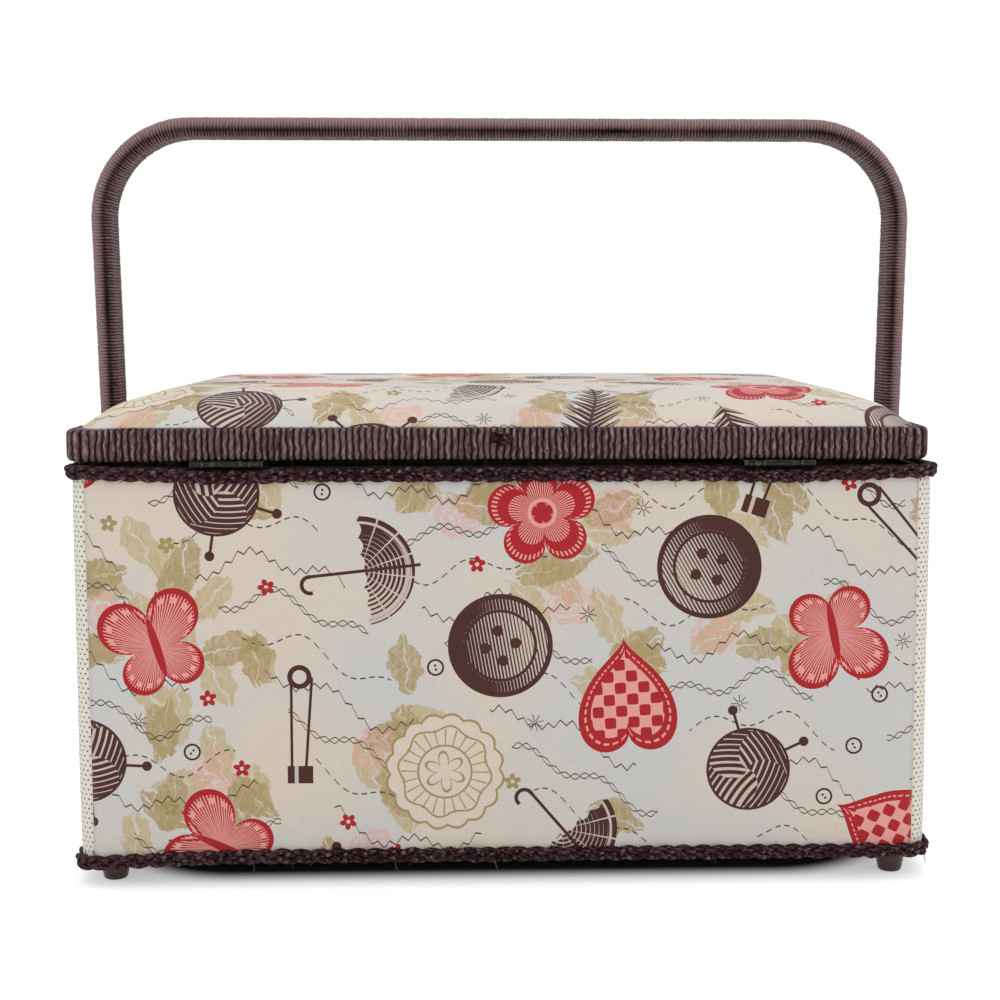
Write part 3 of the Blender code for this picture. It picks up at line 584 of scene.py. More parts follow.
def stitch_lines(tree, place, base):
    """Thin winding lines of printed stitches: running stitch, chain stitch and zigzag by turns."""
    row = sizes().stitch_row / MM
    known = dict(zip("uv", add(tree, "SeparateXYZ", (place,)).outputs))
    steps = f"""
        down: u, *+ 0.17 v
        slow: u, * 0.062, sin
        band: slow, *+ 7 down, * {1 / row}
        number: band, floor
        band: band, fract, *+ {row} {-row / 2}
        shift: number, * 2.1
        curve: u, *+ 0.19 shift, sin, *+ 3.6 band
        kind: number, * {1 / 3}, fract
        dash: u, * 0.27, fract, < 0.6
        run: curve, ~ 0 0.3, * dash
        open: u, * 0.8, sin, abs, * 1.15
        chain: curve, abs, - open, ~ 0 0.24
        tooth: u, * 0.4, pingpong 1, *+ -2.6 1.3
        zigzag: curve, + tooth, ~ 0 0.32
        first: kind, < 0.2
        last: kind, > 0.5
        middle: first, + last
        middle: 1, - middle
        line: first, * run
        line: last, *+ zigzag line
        line: middle, *+ chain line
        stop: u, *+ 0.011 shift, fract, < 0.66
        line: line, * stop
    """
    return add(tree, "Mix", (work_out(tree, known, steps)["line"], base, colours().line), data_type="RGBA")


def printed_cotton():
    """Quilting cotton, plain woven and screen printed in tan, red and brown: flat, matt, slightly fuzzy."""
    inks, measure = colours(), sizes()
    material, tree = surface("Screen-printed quilting cotton")
    place = in_millimetres(tree)
    # The basket's back falls on a stretch of the cloth where the motifs are well mixed
    place = add(tree, "VectorMath", (place, (370.0, 210.0, 0.0)), operation="ADD")

    patch = add(tree, "TexNoise", {"Vector": place, "Scale": 0.013, "Detail": 2.0})
    warm = add(tree, "MapRange", (patch, 0.42, 0.6))
    base = add(tree, "Mix", (warm, inks.ground_cool, inks.ground_warm), data_type="RGBA")
    base = add(tree, "Mix", (0.4, base, inks.ground), data_type="RGBA")
    base = foliage(tree, place, base)
    base = stitch_lines(tree, place, base)

    # The motifs' rows run aslant, so that they don't line up with the basket's edges
    slant = add(tree, "VectorRotate", {"Vector": place, "Angle": 0.47}, rotation_type="Z_AXIS")
    cell, small_cell = measure.motif_cell / MM, measure.small_cell / MM
    small, luck, middle = cell_place(tree, slant, small_cell, 0.4, TURN)
    centre = add(tree, "VectorMath", (middle, (small_cell / cell,) * 3), operation="MULTIPLY")
    large = {"Vector": centre, "Scale": 1.0, "Randomness": 0.22}
    large = add(tree, "TexVoronoi", large, voronoi_dimensions="2D")
    known = {"chance": luck.outputs["X"], "large": large.outputs["Distance"]}
    known = disk_place(tree, small, 5.6, known)
    known = work_out(tree, known, SMALL)
    room = 0.5 * measure.motif_radius / MM / cell + 0.22
    kinds = (
        ("bloom", 0.1, inks.red),
        ("star", 0.3, inks.line),
        ("ring", 0.5, inks.brown),
        ("bloom", 0.66, inks.olive),
    )
    for kind, share, ink in kinds:
        steps = f"""
            clear: large, > {room}
            pick: chance, ~ {share} 0.08, * clear, * {kind}
        """
        base = add(tree, "Mix", (work_out(tree, known, steps)["pick"], base, ink), data_type="RGBA")

    spot, chance, _ = cell_place(tree, slant, cell, 0.22, TURN)
    grow = measure.motif_cell / measure.motif_radius
    known = disk_place(tree, spot, grow, {"chance": chance.outputs["X"]})
    inked = {
        ("red", "tint"): inks.pink,
        ("brown", "tint"): inks.brown_tint,
        ("olive", "tint"): inks.ground_warm,
        ("red", "line"): inks.red,
        ("brown", "line"): inks.brown,
        ("olive", "line"): inks.olive,
    }
    low = 0.0
    for steps, share, ink in MOTIFS:
        made = work_out(tree, known, steps)
        pick = work_out(tree, known, f"pick: chance, ~ {low + share / 2} {share / 2}")["pick"]
        for layer in ("tint", "line"):
            mask = add(tree, "Math", (made[layer], pick), operation="MULTIPLY")
            base = add(tree, "Mix", (mask, base, inked[ink, layer]), data_type="RGBA")
        low += share
    cotton_finish(tree, base, place, measure.weave)
    return material


def dotted_cotton():
    """Quilting cotton printed with pin dots in staggered rows: matt, pale."""
    inks, measure = colours(), sizes()
    material, tree = surface("Pin-dotted quilting cotton")
    place = in_millimetres(tree)
    pitch = measure.dot_pitch / MM
    known = dict(zip("uv", add(tree, "SeparateXYZ", (place,)).outputs))
    steps = f"""
        row: v, * {1.15 / pitch}
        number: row, floor
        row: row, fract, - 0.5
        shift: number, * 0.5
        column: u, *+ {1 / pitch} shift, fract, - 0.5
        far: row, * row
        far: column, *+ column far
        dot: far, < 0.034
    """
    dot = work_out(tree, known, steps)["dot"]
    base = add(tree, "Mix", (dot, inks.dotted, inks.dot), data_type="RGBA")
    cotton_finish(tree, base, place, measure.weave)
    return material


def woven_cloth(name, ink, thread, roughness=0.82, sheen=0.12):
    """Plain woven cloth in one colour: matt, its threads a little uneven."""
    material, tree = surface(name)
    place = add(tree, "TexCoord").outputs["Object"]
    scaled = add(tree, "VectorMath", (place, (1 / MM,) * 3), operation="MULTIPLY")
    beat = math.pi / (thread / MM)
    known = dict(zip("xyz", add(tree, "SeparateXYZ", (scaled,)).outputs))
    steps = f"""
        u: x, + z, * {beat}, sin
        v: y, - z, * {beat}, sin
        over: u, * v, *+ 0.5 0.5
    """
    over = work_out(tree, known, steps)["over"]
    slub = add(tree, "TexNoise", {"Vector": scaled, "Scale": 0.35, "Detail": 3.0})
    tone = add(tree, "Math", (slub, 0.16, 0.86), operation="MULTIPLY_ADD")
    # Painted shade: where a thread dips under the next, the cloth is drawn a little darker.
    tone = add(tree, "Math", (over, 0.06, tone), operation="MULTIPLY_ADD")
    base = add(tree, "VectorMath", ((*ink,), tone), operation="MULTIPLY")
    shaded(tree, base, over, 0.09 * MM, 0.7, roughness=roughness, sheen_weight=sheen)
    return material


def paper_cord(name, light, other, worn, gap, ply_pitch, turns, seam=None):
    """Paper twisted into two-ply cord: dull, with fine creases along the ply, painted highlights
    on its crests and painted shade in its grooves.

    Around a core each turn is one cord, told by the attribute turn; else turn is the distance along
    the cord and round is the share of the way round it. Where a seam is given, it is the half width
    of the cord's section, and on the section's two sides painted light brightens them towards one
    edge while a stripe of painted shade runs a little off their middle.
    """
    material, tree = surface(name)
    turn = add(tree, "Attribute", attribute_name="turn").outputs["Fac"]
    around = add(tree, "Attribute", attribute_name="round").outputs["Fac"]
    known = {"turn": turn, "round": around}
    if turns:
        steps = f"""
            number: turn, floor
            across: turn, fract
            along: round, * {1 / ply_pitch}
            zone: turn, * 0.03
        """
    else:
        steps = f"""
            number: turn, * 60, floor
            across: round, * 1
            along: turn, * {1 / ply_pitch}
            zone: turn, * 20
        """
    known = work_out(tree, known, steps)
    luck = add(tree, "TexWhiteNoise", {"W": known["number"]}, noise_dimensions="1D")
    known["luck"] = luck.outputs["Value"]
    zone = add(tree, "TexNoise", {"W": known["zone"], "Scale": 1.0}, noise_dimensions="1D")
    known["zone"] = zone.outputs[0]
    wobble = add(tree, "CombineXYZ", (known["number"], known["along"], 0.0))
    known["wobble"] = add(tree, "TexNoise", {"Vector": wobble, "Scale": 0.7}).outputs[0]
    steps = f"""
        ply: luck, * {1.0 if turns else 0.0}, + along
        ply: across, *+ 0.9 ply
        ply: wobble, *+ 1.1 ply, * {math.pi}, sin, abs
        crest: across, * {math.pi}, sin, abs
        fine: across, *+ 4.5 ply
        slow: along, * 0.5
    """
    known = work_out(tree, known, steps)
    streaks = add(tree, "CombineXYZ", (known["fine"], known["slow"], known["number"]))
    known["fibre"] = add(tree, "TexNoise", {"Vector": streaks, "Scale": 1.5, "Detail": 3.0}).outputs[0]
    crest = "crest" if turns else "ply"
    # Painted shade: tone falls towards the edges of each turn and into the ply's grooves. Painted
    # highlight: glint lays pale streaks on the crests.
    steps = f"""
        body: {crest}, ^ {0.95 if turns else 0.4}
        groove: ply, ^ 0.55, *+ 0.35 0.65
        tone: body, * groove
        tone: fibre, *+ 0.6 tone, - 0.3
        height: fibre, *+ 0.3 groove
        glint: fibre, - 0.5, * 9, max 0, * {crest}, * {crest}, min 0.9
        dye: zone, *+ 1.6 luck, - 0.8, min 1, max 0
    """
    known = work_out(tree, known, steps)
    ridges = known["height"]
    dyed = add(tree, "Mix", (known["dye"], light, other), data_type="RGBA")
    # The crests get their painted highlight, and low tone turns to painted shade in the gap colour.
    pale = add(tree, "Mix", (known["glint"], dyed, worn), data_type="RGBA")
    tone = add(tree, "MapRange", (known["tone"], 0.18, 1.08))
    base = add(tree, "Mix", (tone, gap, pale), data_type="RGBA")
    if not turns:
        # Painted shade: the crevices that ambient occlusion finds are drawn towards the gap colour.
        crevice_shade = add(tree, "AmbientOcclusion", {"Distance": 4 * MM}).outputs["AO"]
        crevice_shade = add(tree, "Math", (crevice_shade, 2.2), operation="POWER")
        base = add(tree, "Mix", (crevice_shade, gap, base), data_type="RGBA")
    if seam:
        section = add(tree, "Attribute", attribute_name="section").outputs["Vector"]
        known |= dict(zip("xy", add(tree, "SeparateXYZ", (section,)).outputs))
        # Painted light and shade on the section's two sides: they lighten towards one edge, and a stripe of
        # painted shade runs a little off their middle.
        steps = f"""
            side: x, abs, > {seam - 3 * MM}
            band: y, + {1.7 * MM}, * {1 / (1.5 * MM)}
            band: band, * band, * -1, exp, * side
            patchy: zone, *+ 1.4 0.05
            band: band, * patchy
            worn: y, *+ {1 / (4 * MM)} 0.35, min 1, max 0, * side, * 0.8
        """
        known = work_out(tree, known, steps)
        lighter = add(tree, "Mix", (tone, light, worn), data_type="RGBA")
        base = add(tree, "Mix", (known["worn"], base, lighter), data_type="RGBA")
        base = add(tree, "Mix", (known["band"], base, gap), data_type="RGBA")
    shaded(tree, base, ridges, 0.5 * MM, 0.9, roughness=0.6, specular_ior_level=0.06)
    return material


def plastic(name, ink, roughness, grain, depth):
    """Moulded plastic: even colour, with the mould's faint grain under a soft gloss."""
    material, tree = surface(name)
    place = add(tree, "TexCoord").outputs["Object"]
    fine = add(tree, "TexNoise", {"Vector": place, "Scale": 1 / grain, "Detail": 3.0})
    cloud = add(tree, "TexNoise", {"Vector": place, "Scale": 1 / (30 * grain)})
    tone = add(tree, "MapRange", (cloud, 0.3, 0.7, 0.975, 1.015))
    base = add(tree, "VectorMath", ((*ink,), tone), operation="MULTIPLY")
    shaded(tree, base, fine, depth, 0.5, roughness=roughness, ior=1.5)
    return material


def metal_wear_and_highlight(name, ink, worn, roughness, share):
    """Finished sheet metal: a dark finish rubbed bare in random patches, with a painted highlight along its
    edges.
    """
    material, tree = surface(name)
    place = add(tree, "TexCoord").outputs["Object"]
    patch = add(tree, "TexNoise", {"Vector": place, "Scale": 900.0, "Detail": 4.0})
    bent = add(tree, "Bevel", {"Radius": 0.16 * MM}, samples=4)
    flat = add(tree, "NewGeometry").outputs["Normal"]
    known = {"patch": patch, "edge": add(tree, "VectorMath", (bent, flat), operation="DOT_PRODUCT")}
    # Painted highlight: edges found by the bevel are drawn in the bright colour, as are random patches
    # where the finish is rubbed bare.
    steps = f"""
        edge: 1, - edge, * 24, * patch, min 1
        bare: patch, - {share}, * 3, max 0, max edge
    """
    bare = work_out(tree, known, steps)["bare"]
    base = add(tree, "Mix", (bare, ink, worn), data_type="RGBA")
    shaded(tree, base, patch, 0.05 * MM, 0.4, roughness=roughness, metallic=1.0)
    return material


def grained(name, ink, size, depth, roughness):
    """Leather or board: an irregular cell grain that is darker in its creases."""
    material, tree = surface(name)
    place = add(tree, "TexCoord").outputs["Object"]
    cells = add(tree, "TexVoronoi", {"Vector": place, "Scale": 1 / size})
    cloud = add(tree, "TexNoise", {"Vector": place, "Scale": 120.0, "Detail": 3.0})
    known = {"cells": cells.outputs["Distance"], "cloud": cloud.outputs[0]}
    steps = """
        tone: cells, *+ 0.25 0.8
        tone: cloud, *+ 0.25 tone, - 0.1
    """
    tone = work_out(tree, known, steps)["tone"]
    base = add(tree, "VectorMath", ((*ink,), tone), operation="MULTIPLY")
    shaded(tree, base, cells.outputs["Distance"], depth, 0.6, roughness=roughness)
    return material


def dress(names, material):
    """Gives CAD nodes that stay their finish."""
    for name in names:
        node = nodes[name]
        node.data.materials.clear()
        node.data.materials.append(material)


def placed(name, data):
    """A new object in the scene, at the origin."""
    obj = bpy.data.objects.new(name, data)
    bpy.context.scene.collection.objects.link(obj)
    return obj


def smooth_mesh(name, points, faces):
    mesh = bpy.data.meshes.new(name)
    mesh.from_pydata(points, [], faces)
    mesh.shade_smooth()
    return mesh


def made_plain(obj):
    """The plain mesh that an object's modifiers make. The object itself goes."""
    bpy.context.view_layer.update()
    graph = bpy.context.evaluated_depsgraph_get()
    source = obj.evaluated_get(graph)
    mesh = bpy.data.meshes.new_from_object(source, preserve_all_data_layers=True, depsgraph=graph)
    bpy.data.objects.remove(obj, do_unlink=True)
    return mesh


def piece(name, mesh, material, body, replaced=()):
    """A finished piece at the origin, with its material and body, in place of the nodes it stands for,
    which are hidden.
    """
    obj = placed(name, mesh)
    mesh.materials.clear()
    mesh.materials.append(material)
    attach(obj, body)
    if replaced:
        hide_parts(*replaced)
    return obj


def path_object(name, points, closed=False, edges=True):
    """A line of edges through points, or the points alone, as the start of a node tree."""
    count = len(points)
    links = [(i, (i + 1) % count) for i in range(count if closed else count - 1)] if edges else []
    mesh = bpy.data.meshes.new(name)
    mesh.from_pydata(points, links, [])
    return placed(name, mesh)


def run_tree(source, tree, values):
    """Runs a node tree on an object with named inputs, and gives the plain mesh it makes."""
    modifier = source.modifiers.new("Nodes", "NODES")
    modifier.node_group = tree
    for item in tree.interface.items_tree:
        if item.item_type == "SOCKET" and item.in_out == "INPUT" and item.name in values:
            modifier[item.identifier] = values[item.name]
    return made_plain(source)


def laid_along(name, points, tree, values, body, slot, replaced=(), **way):
    """A finished piece that a tree makes along points, in the material among its values."""
    mesh = run_tree(path_object(name + "_path", points, **way), tree, values)
    return piece(name, mesh, values["Material"], body, replaced)


def new_tree(name, inputs):
    """A node tree for geometry with named inputs, and the outputs of its first node."""
    tree = bpy.data.node_groups.new(name, "GeometryNodeTree")
    face = tree.interface
    face.new_socket("Geometry", in_out="INPUT", socket_type="NodeSocketGeometry")
    for label, kind in (*inputs, ("Material", "Material")):
        face.new_socket(label, in_out="INPUT", socket_type="NodeSocket" + kind)
    face.new_socket("Geometry", in_out="OUTPUT", socket_type="NodeSocketGeometry")
    return tree, add(tree, "GroupInput").outputs


def end_tree(tree, geometry, given):
    """Ends a tree: real meshes in place of instances, smooth, with their material."""
    real = add(tree, "RealizeInstances", (geometry,))
    smooth = add(tree, "SetShadeSmooth", {"Geometry": real})
    made = add(tree, "SetMaterial", {"Geometry": smooth, "Material": given["Material"]})
    add(tree, "GroupOutput", (made,))
    return tree


def roped(tree, path, given, radius):
    """Sweeps a round section along a path, stores the way round it, and ends the tree."""
    ring = add(tree, "CurvePrimitiveCircle", {"Resolution": 8, "Radius": given[radius]})
    around = add(tree, "SplineParameter")
    ring = add(tree, "StoreNamedAttribute", (ring, None, "round", around.outputs["Factor"]))
    swept = {"Curve": path, "Profile Curve": ring, "Fill Caps": True}
    return end_tree(tree, add(tree, "CurveToMesh", swept), given)


def winding_tree():
    """Cord wound round a band: a rounded section swept along a path and drawn in between turns."""
    labels = ("Width", "Height", "Corner radius", "Groove", "Loose", "Bend", "Uneven")
    inputs = [("Turns", "Int"), ("Rings a turn", "Int"), ("Facing", "Vector")]
    tree, given = new_tree("Wound cord", inputs + [(label, "Float") for label in labels])
    count = add(tree, "Math", (given["Turns"], given["Rings a turn"], 1.0), operation="MULTIPLY_ADD")
    route = add(tree, "MeshToCurve", {0: given["Geometry"]})
    path = add(tree, "ResampleCurve", {"Curve": route, "Count": count}, mode="COUNT")
    place = add(tree, "SplineParameter")
    known = {"factor": place.outputs["Factor"], "uneven": given["Uneven"], "turns": given["Turns"]}
    steps = f"""
        drift: factor, * {3 * TURN}, sin, *+ uneven factor
        turn: factor, * turns
    """
    known = work_out(tree, known, steps)
    sample = {"Curves": route, "Factor": known["drift"]}
    sample = add(tree, "SampleCurve", sample, mode="FACTOR")
    path = add(tree, "SetPosition", {"Geometry": path, "Position": sample.outputs["Position"]})
    path = add(tree, "SetCurveNormal", {"Curve": path, "Normal": given["Facing"]}, mode="FREE")
    path = add(tree, "StoreNamedAttribute", (path, None, "turn", known["turn"]))
    way = {"Geometry": path, "Name": "way", "Value": add(tree, "InputTangent")}
    path = add(tree, "StoreNamedAttribute", way, data_type="FLOAT_VECTOR")
    outline = {"Width": given["Width"], "Height": given["Height"]}
    outline = add(tree, "CurvePrimitiveQuadrilateral", outline)
    outline = {"Curve": outline, "Count": 3, "Radius": given["Corner radius"]}
    outline = add(tree, "FilletCurve", outline, mode="POLY")
    outline = add(tree, "ResampleCurve", {"Curve": outline, "Count": 28}, mode="COUNT")
    around = add(tree, "SplineParameter")
    outline = add(tree, "StoreNamedAttribute", (outline, None, "round", around.outputs["Length"]))
    section = {"Geometry": outline, "Name": "section", "Value": add(tree, "InputPosition")}
    outline = add(tree, "StoreNamedAttribute", section, data_type="FLOAT_VECTOR")
    swept = {"Curve": path, "Profile Curve": outline, "Fill Caps": True}
    swept = add(tree, "CurveToMesh", swept)
    known = {
        "turn": add(tree, "InputNamedAttribute", {"Name": "turn"}),
        "groove": given["Groove"],
        "loose": given["Loose"],
    }
    steps = f"""
        number: turn, floor
        in: turn, * {math.pi}, sin, abs, - 1, * groove
    """
    known = work_out(tree, known, steps)
    luck = add(tree, "TexWhiteNoise", {"W": known["number"]}, noise_dimensions="1D")
    known["luck"] = luck.outputs["Value"]
    steps = """
        luck: luck, - 0.8
        in: luck, *+ loose in
    """
    known = work_out(tree, known, steps)
    normal = add(tree, "InputNormal")
    offset = add(tree, "VectorMath", {"Vector": normal, "Scale": known["in"]}, operation="SCALE")
    bend = add(tree, "TexNoise", {"Scale": 260.0, "Detail": 0.0}).outputs[0]
    bend = add(tree, "Math", (bend, 0.5), operation="SUBTRACT")
    bend = add(tree, "Math", (bend, given["Bend"]), operation="MULTIPLY")
    way = add(tree, "InputNamedAttribute", {"Name": "way"}, data_type="FLOAT_VECTOR")
    aside = add(tree, "VectorMath", {"Vector": way, "Scale": bend}, operation="SCALE")
    offset = add(tree, "VectorMath", (offset, aside), operation="ADD")
    pressed = add(tree, "SetPosition", {"Geometry": swept, "Offset": offset})
    return end_tree(tree, pressed, given)


def plait_tree():
    """A flat plait: three strands that cross by one rule, a third of a period apart."""
    labels = ("Half width", "Half thickness", "Strand radius")
    inputs = [("Periods", "Int"), ("Steps a period", "Int")]
    tree, given = new_tree("Plaited cord", inputs + [(label, "Float") for label in labels])
    count = (given["Periods"], given["Steps a period"], 1.0)
    count = add(tree, "Math", count, operation="MULTIPLY_ADD")
    path = add(tree, "MeshToCurve", {0: given["Geometry"]})
    path = add(tree, "ResampleCurve", {"Curve": path, "Count": count}, mode="COUNT")
    place = add(tree, "SplineParameter")
    tangent = add(tree, "InputTangent")
    out = add(tree, "VectorMath", (tangent, (0, 0, 1)), operation="CROSS_PRODUCT")
    uneven = {"W": place.outputs["Length"], "Scale": 90.0}
    uneven = add(tree, "TexNoise", uneven, noise_dimensions="1D")
    known = {
        "factor": place.outputs["Factor"],
        "periods": given["Periods"],
        "width": given["Half width"],
        "thickness": given["Half thickness"],
        "uneven": uneven.outputs[0],
    }
    joined = add(tree, "JoinGeometry")
    for third in range(3):
        steps = f"""
            round: factor, * periods, + {third / 3}, * {TURN}
            up: round, sin
            swing: uneven, *+ 0.6 0.7
            up: up, * width, * swing
            forth: round, * 2, sin, * thickness
        """
        made = work_out(tree, known, steps)
        rise = add(tree, "CombineXYZ", (0.0, 0.0, made["up"]))
        step = add(tree, "VectorMath", {"Vector": out, "Scale": made["forth"]}, operation="SCALE")
        offset = add(tree, "VectorMath", (rise, step), operation="ADD")
        strand = add(tree, "SetPosition", {"Geometry": path, "Offset": offset})
        strand = add(tree, "StoreNamedAttribute", (strand, None, "turn", place.outputs["Length"]))
        tree.links.new(strand.outputs[0], joined.inputs[0])
    return roped(tree, joined, given, "Strand radius")


def cord_tree():
    """A plain cord: a round section swept along a path, with its places along and round it stored."""
    tree, given = new_tree("Cord", [("Spacing", "Float"), ("Radius", "Float")])
    path = add(tree, "MeshToCurve", {0: given["Geometry"]})
    path = {"Curve": path, "Length": given["Spacing"]}
    path = add(tree, "ResampleCurve", path, mode="LENGTH")
    place = add(tree, "SplineParameter")
    path = add(tree, "StoreNamedAttribute", (path, None, "turn", place.outputs["Length"]))
    return roped(tree, path, given, "Radius")


def stitch_tree():
    """A line of stitches: short threads laid one after another along a path."""
    tree, given = new_tree("Stitches", [("Spacing", "Float"), ("Stitch", "Float"), ("Radius", "Float")])
    path = add(tree, "MeshToCurve", {0: given["Geometry"]})
    path = {"Curve": path, "Length": given["Spacing"]}
    path = add(tree, "ResampleCurve", path, mode="LENGTH")
    tangent = add(tree, "InputTangent")
    facing = add(tree, "AlignRotationToVector", {"Vector": tangent}, axis="Z")
    stitch = {"Vertices": 6, "Radius": given["Radius"], "Depth": given["Stitch"]}
    stitch = add(tree, "MeshCylinder", stitch)
    laid = {"Points": path, "Instance": stitch, "Rotation": facing}
    return end_tree(tree, add(tree, "InstanceOnPoints", laid), given)


def screw_tree():
    """Slotted screw heads on points, each turned at random."""
    inputs = [("Radius", "Float"), ("Height", "Float"), ("Seed", "Int")]
    tree, given = new_tree("Screw heads", inputs)
    head = {"Vertices": 20, "Radius": given["Radius"], "Depth": given["Height"]}
    head = add(tree, "MeshCylinder", head)
    slot = add(tree, "MeshCube", {"Size": (4 * MM, 0.35 * MM, 0.2 * MM)})
    lift = add(tree, "Math", (given["Height"], 0.5), operation="MULTIPLY")
    lift = add(tree, "CombineXYZ", (0.0, 0.0, lift))
    slot = add(tree, "Transform", {"Geometry": slot, "Translation": lift})
    cut = {"Mesh 1": head, "Mesh 2": slot}
    cut = add(tree, "MeshBoolean", cut, operation="DIFFERENCE", solver="EXACT")
    turned = {"Min": (0, 0, 0), "Max": (0, 0, TURN), "Seed": given["Seed"]}
    turned = add(tree, "RandomValue", turned, data_type="FLOAT_VECTOR")
    laid = {"Points": given["Geometry"], "Instance": cut, "Rotation": turned}
    return end_tree(tree, add(tree, "InstanceOnPoints", laid), given)


def fibre_tree():
    """Stray fibres: short bent hairs that stand off a cord at random."""
    inputs = [("Number", "Int"), ("Length", "Float"), ("Seed", "Int")]
    tree, given = new_tree("Stray fibres", inputs)
    path = add(tree, "MeshToCurve", {0: given["Geometry"]})
    path = add(tree, "ResampleCurve", {"Curve": path, "Count": given["Number"]}, mode="COUNT")
    hair = {"Resolution": 5, "Start": (0, 0, 0), "Middle": (0.5, 0.3, 0.1), "End": (1, 0, 0)}
    hair = add(tree, "CurveQuadraticBezier", hair)
    ring = add(tree, "CurvePrimitiveCircle", {"Resolution": 3, "Radius": 0.03})
    hair = add(tree, "CurveToMesh", {"Curve": hair, "Profile Curve": ring, "Fill Caps": True})
    spread = 2 * MM
    shift = {"Min": (-spread, -spread, -spread), "Max": (spread, spread, spread), "Seed": given["Seed"]}
    shift = add(tree, "RandomValue", shift, data_type="FLOAT_VECTOR")
    path = add(tree, "SetPosition", {"Geometry": path, "Offset": shift})
    turned = {"Min": (0, 0, 0), "Max": (TURN, TURN, TURN), "Seed": given["Seed"]}
    turned = add(tree, "RandomValue", turned, data_type="FLOAT_VECTOR")
    size = {"Min": 0.4, "Max": 1.0, "Seed": given["Seed"]}
    size = add(tree, "RandomValue", size, data_type="FLOAT")
    size = add(tree, "Math", (size, given["Length"]), operation="MULTIPLY")
    laid = {"Points": path, "Instance": hair, "Rotation": turned, "Scale": size}
    return end_tree(tree, add(tree, "InstanceOnPoints", laid), given)


def edge_length(width, depth, radius):
    return 2 * (width + depth) - 8 * radius + TURN * radius


def edge_place(way, width, depth, radius):
    """The place and the outward direction at a way round a rounded rectangle, from its back's middle."""
    way = (way - (width / 2 - radius)) % edge_length(width, depth, radius)
    quarter = radius * math.pi / 2
    for turn, (side_x, side_y) in enumerate(((1, -1), (1, 1), (-1, 1), (-1, -1))):
        straight = (width if turn % 2 else depth) - 2 * radius
        ahead = max(way - quarter, 0)
        angle = (turn - 1) * math.pi / 2 + min(way, quarter) / radius
        if way <= quarter + straight or turn == 3:
            out = Vector((math.cos(angle), math.sin(angle), 0))
            middle = Vector((side_x * (width / 2 - radius), side_y * (depth / 2 - radius), 0))
            return middle + out * radius + Vector((-out.y, out.x, 0)) * ahead, out
        way -= quarter + straight


def ring_points(width, depth, radius, height, middle_x=0.0):
    """Points round a rounded rectangle, from its back's middle to a little past it."""
    quarter = radius * math.pi / 2
    overlap = 1.2 * MM
    corner_steps, straight_steps = 8, 30
    half_steps = straight_steps // 2
    start = width / 2 - radius
    ways = [-overlap] + [start * step / half_steps for step in range(1, half_steps)]
    for turn in range(4):
        straight = (width if turn % 2 else depth) - 2 * radius
        ways += [start + quarter * step / corner_steps for step in range(corner_steps + 1)]
        ways += [start + quarter + straight * step / straight_steps for step in range(1, straight_steps)]
        start += quarter + straight
    ways = [way for way in ways if way < edge_length(width, depth, radius) - overlap]
    ways.append(edge_length(width, depth, radius) + overlap)
    return [edge_place(way, width, depth, radius)[0] + Vector((middle_x, 0, height)) for way in ways]


def path_length(points):
    return sum((Vector(b) - Vector(a)).length for a, b in zip(points, points[1:]))


def middle_and_size(name):
    low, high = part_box(name)
    return (low + high) / 2, high - low


def cloth_layer(mesh, pairs):
    """Stores cloth coordinates, one pair a vertex."""
    layer = mesh.uv_layers.new(name="cloth")
    for loop in mesh.loops:
        layer.data[loop.index].uv = pairs[loop.vertex_index]


def grid_mesh(name, rows, pairs=None):
    """A mesh of quads through rows of points, with cloth coordinates where they are given."""
    count = len(rows[0])
    points = [point for row in rows for point in row]
    faces = []
    for row in range(len(rows) - 1):
        for column in range(count - 1):
            first = row * count + column
            faces.append((first, first + 1, first + count + 1, first + count))
    mesh = smooth_mesh(name, points, faces)
    if pairs:
        cloth_layer(mesh, [pair for row in pairs for pair in row])
    return mesh


def closed_pad(name, top, base):
    """A closed mesh from two like grids of points, one over the other, joined along their borders."""
    rows, columns = len(top), len(top[0])
    points = [point for grid in (top, base) for row in grid for point in row]
    under = rows * columns
    faces = []
    for row in range(rows - 1):
        for column in range(columns - 1):
            first = row * columns + column
            quad = (first, first + 1, first + columns + 1, first + columns)
            faces.append(quad)
            faces.append(tuple(under + corner for corner in reversed(quad)))
    border = list(range(columns))
    border += [row * columns + columns - 1 for row in range(1, rows)]
    border += [(rows - 1) * columns + column for column in range(columns - 2, -1, -1)]
    border += [row * columns for row in range(rows - 2, 0, -1)]
    for here, there in zip(border, border[1:] + border[:1]):
        faces.append((there, here, under + here, under + there))
    return smooth_mesh(name, points, faces)


def ring_mesh(name, loops):
    """A closed mesh from loops of points that follow one another round a ring."""
    count, long = len(loops), len(loops[0])
    points = [point for loop in loops for point in loop]
    faces = []
    for here in range(count):
        there = (here + 1) % count
        for place in range(long):
            after = (place + 1) % long
            corners = ((here, place), (there, place), (there, after), (here, after))
            faces.append([row * long + column for row, column in corners])
    return smooth_mesh(name, points, faces)


def thickened(mesh, thickness):
    """A closed wall from an open surface, on the side away from where its faces point."""
    obj = placed(mesh.name, mesh)
    wall = obj.modifiers.new("Wall", "SOLIDIFY")
    wall.thickness = thickness
    wall.offset = -1.0
    return made_plain(obj)


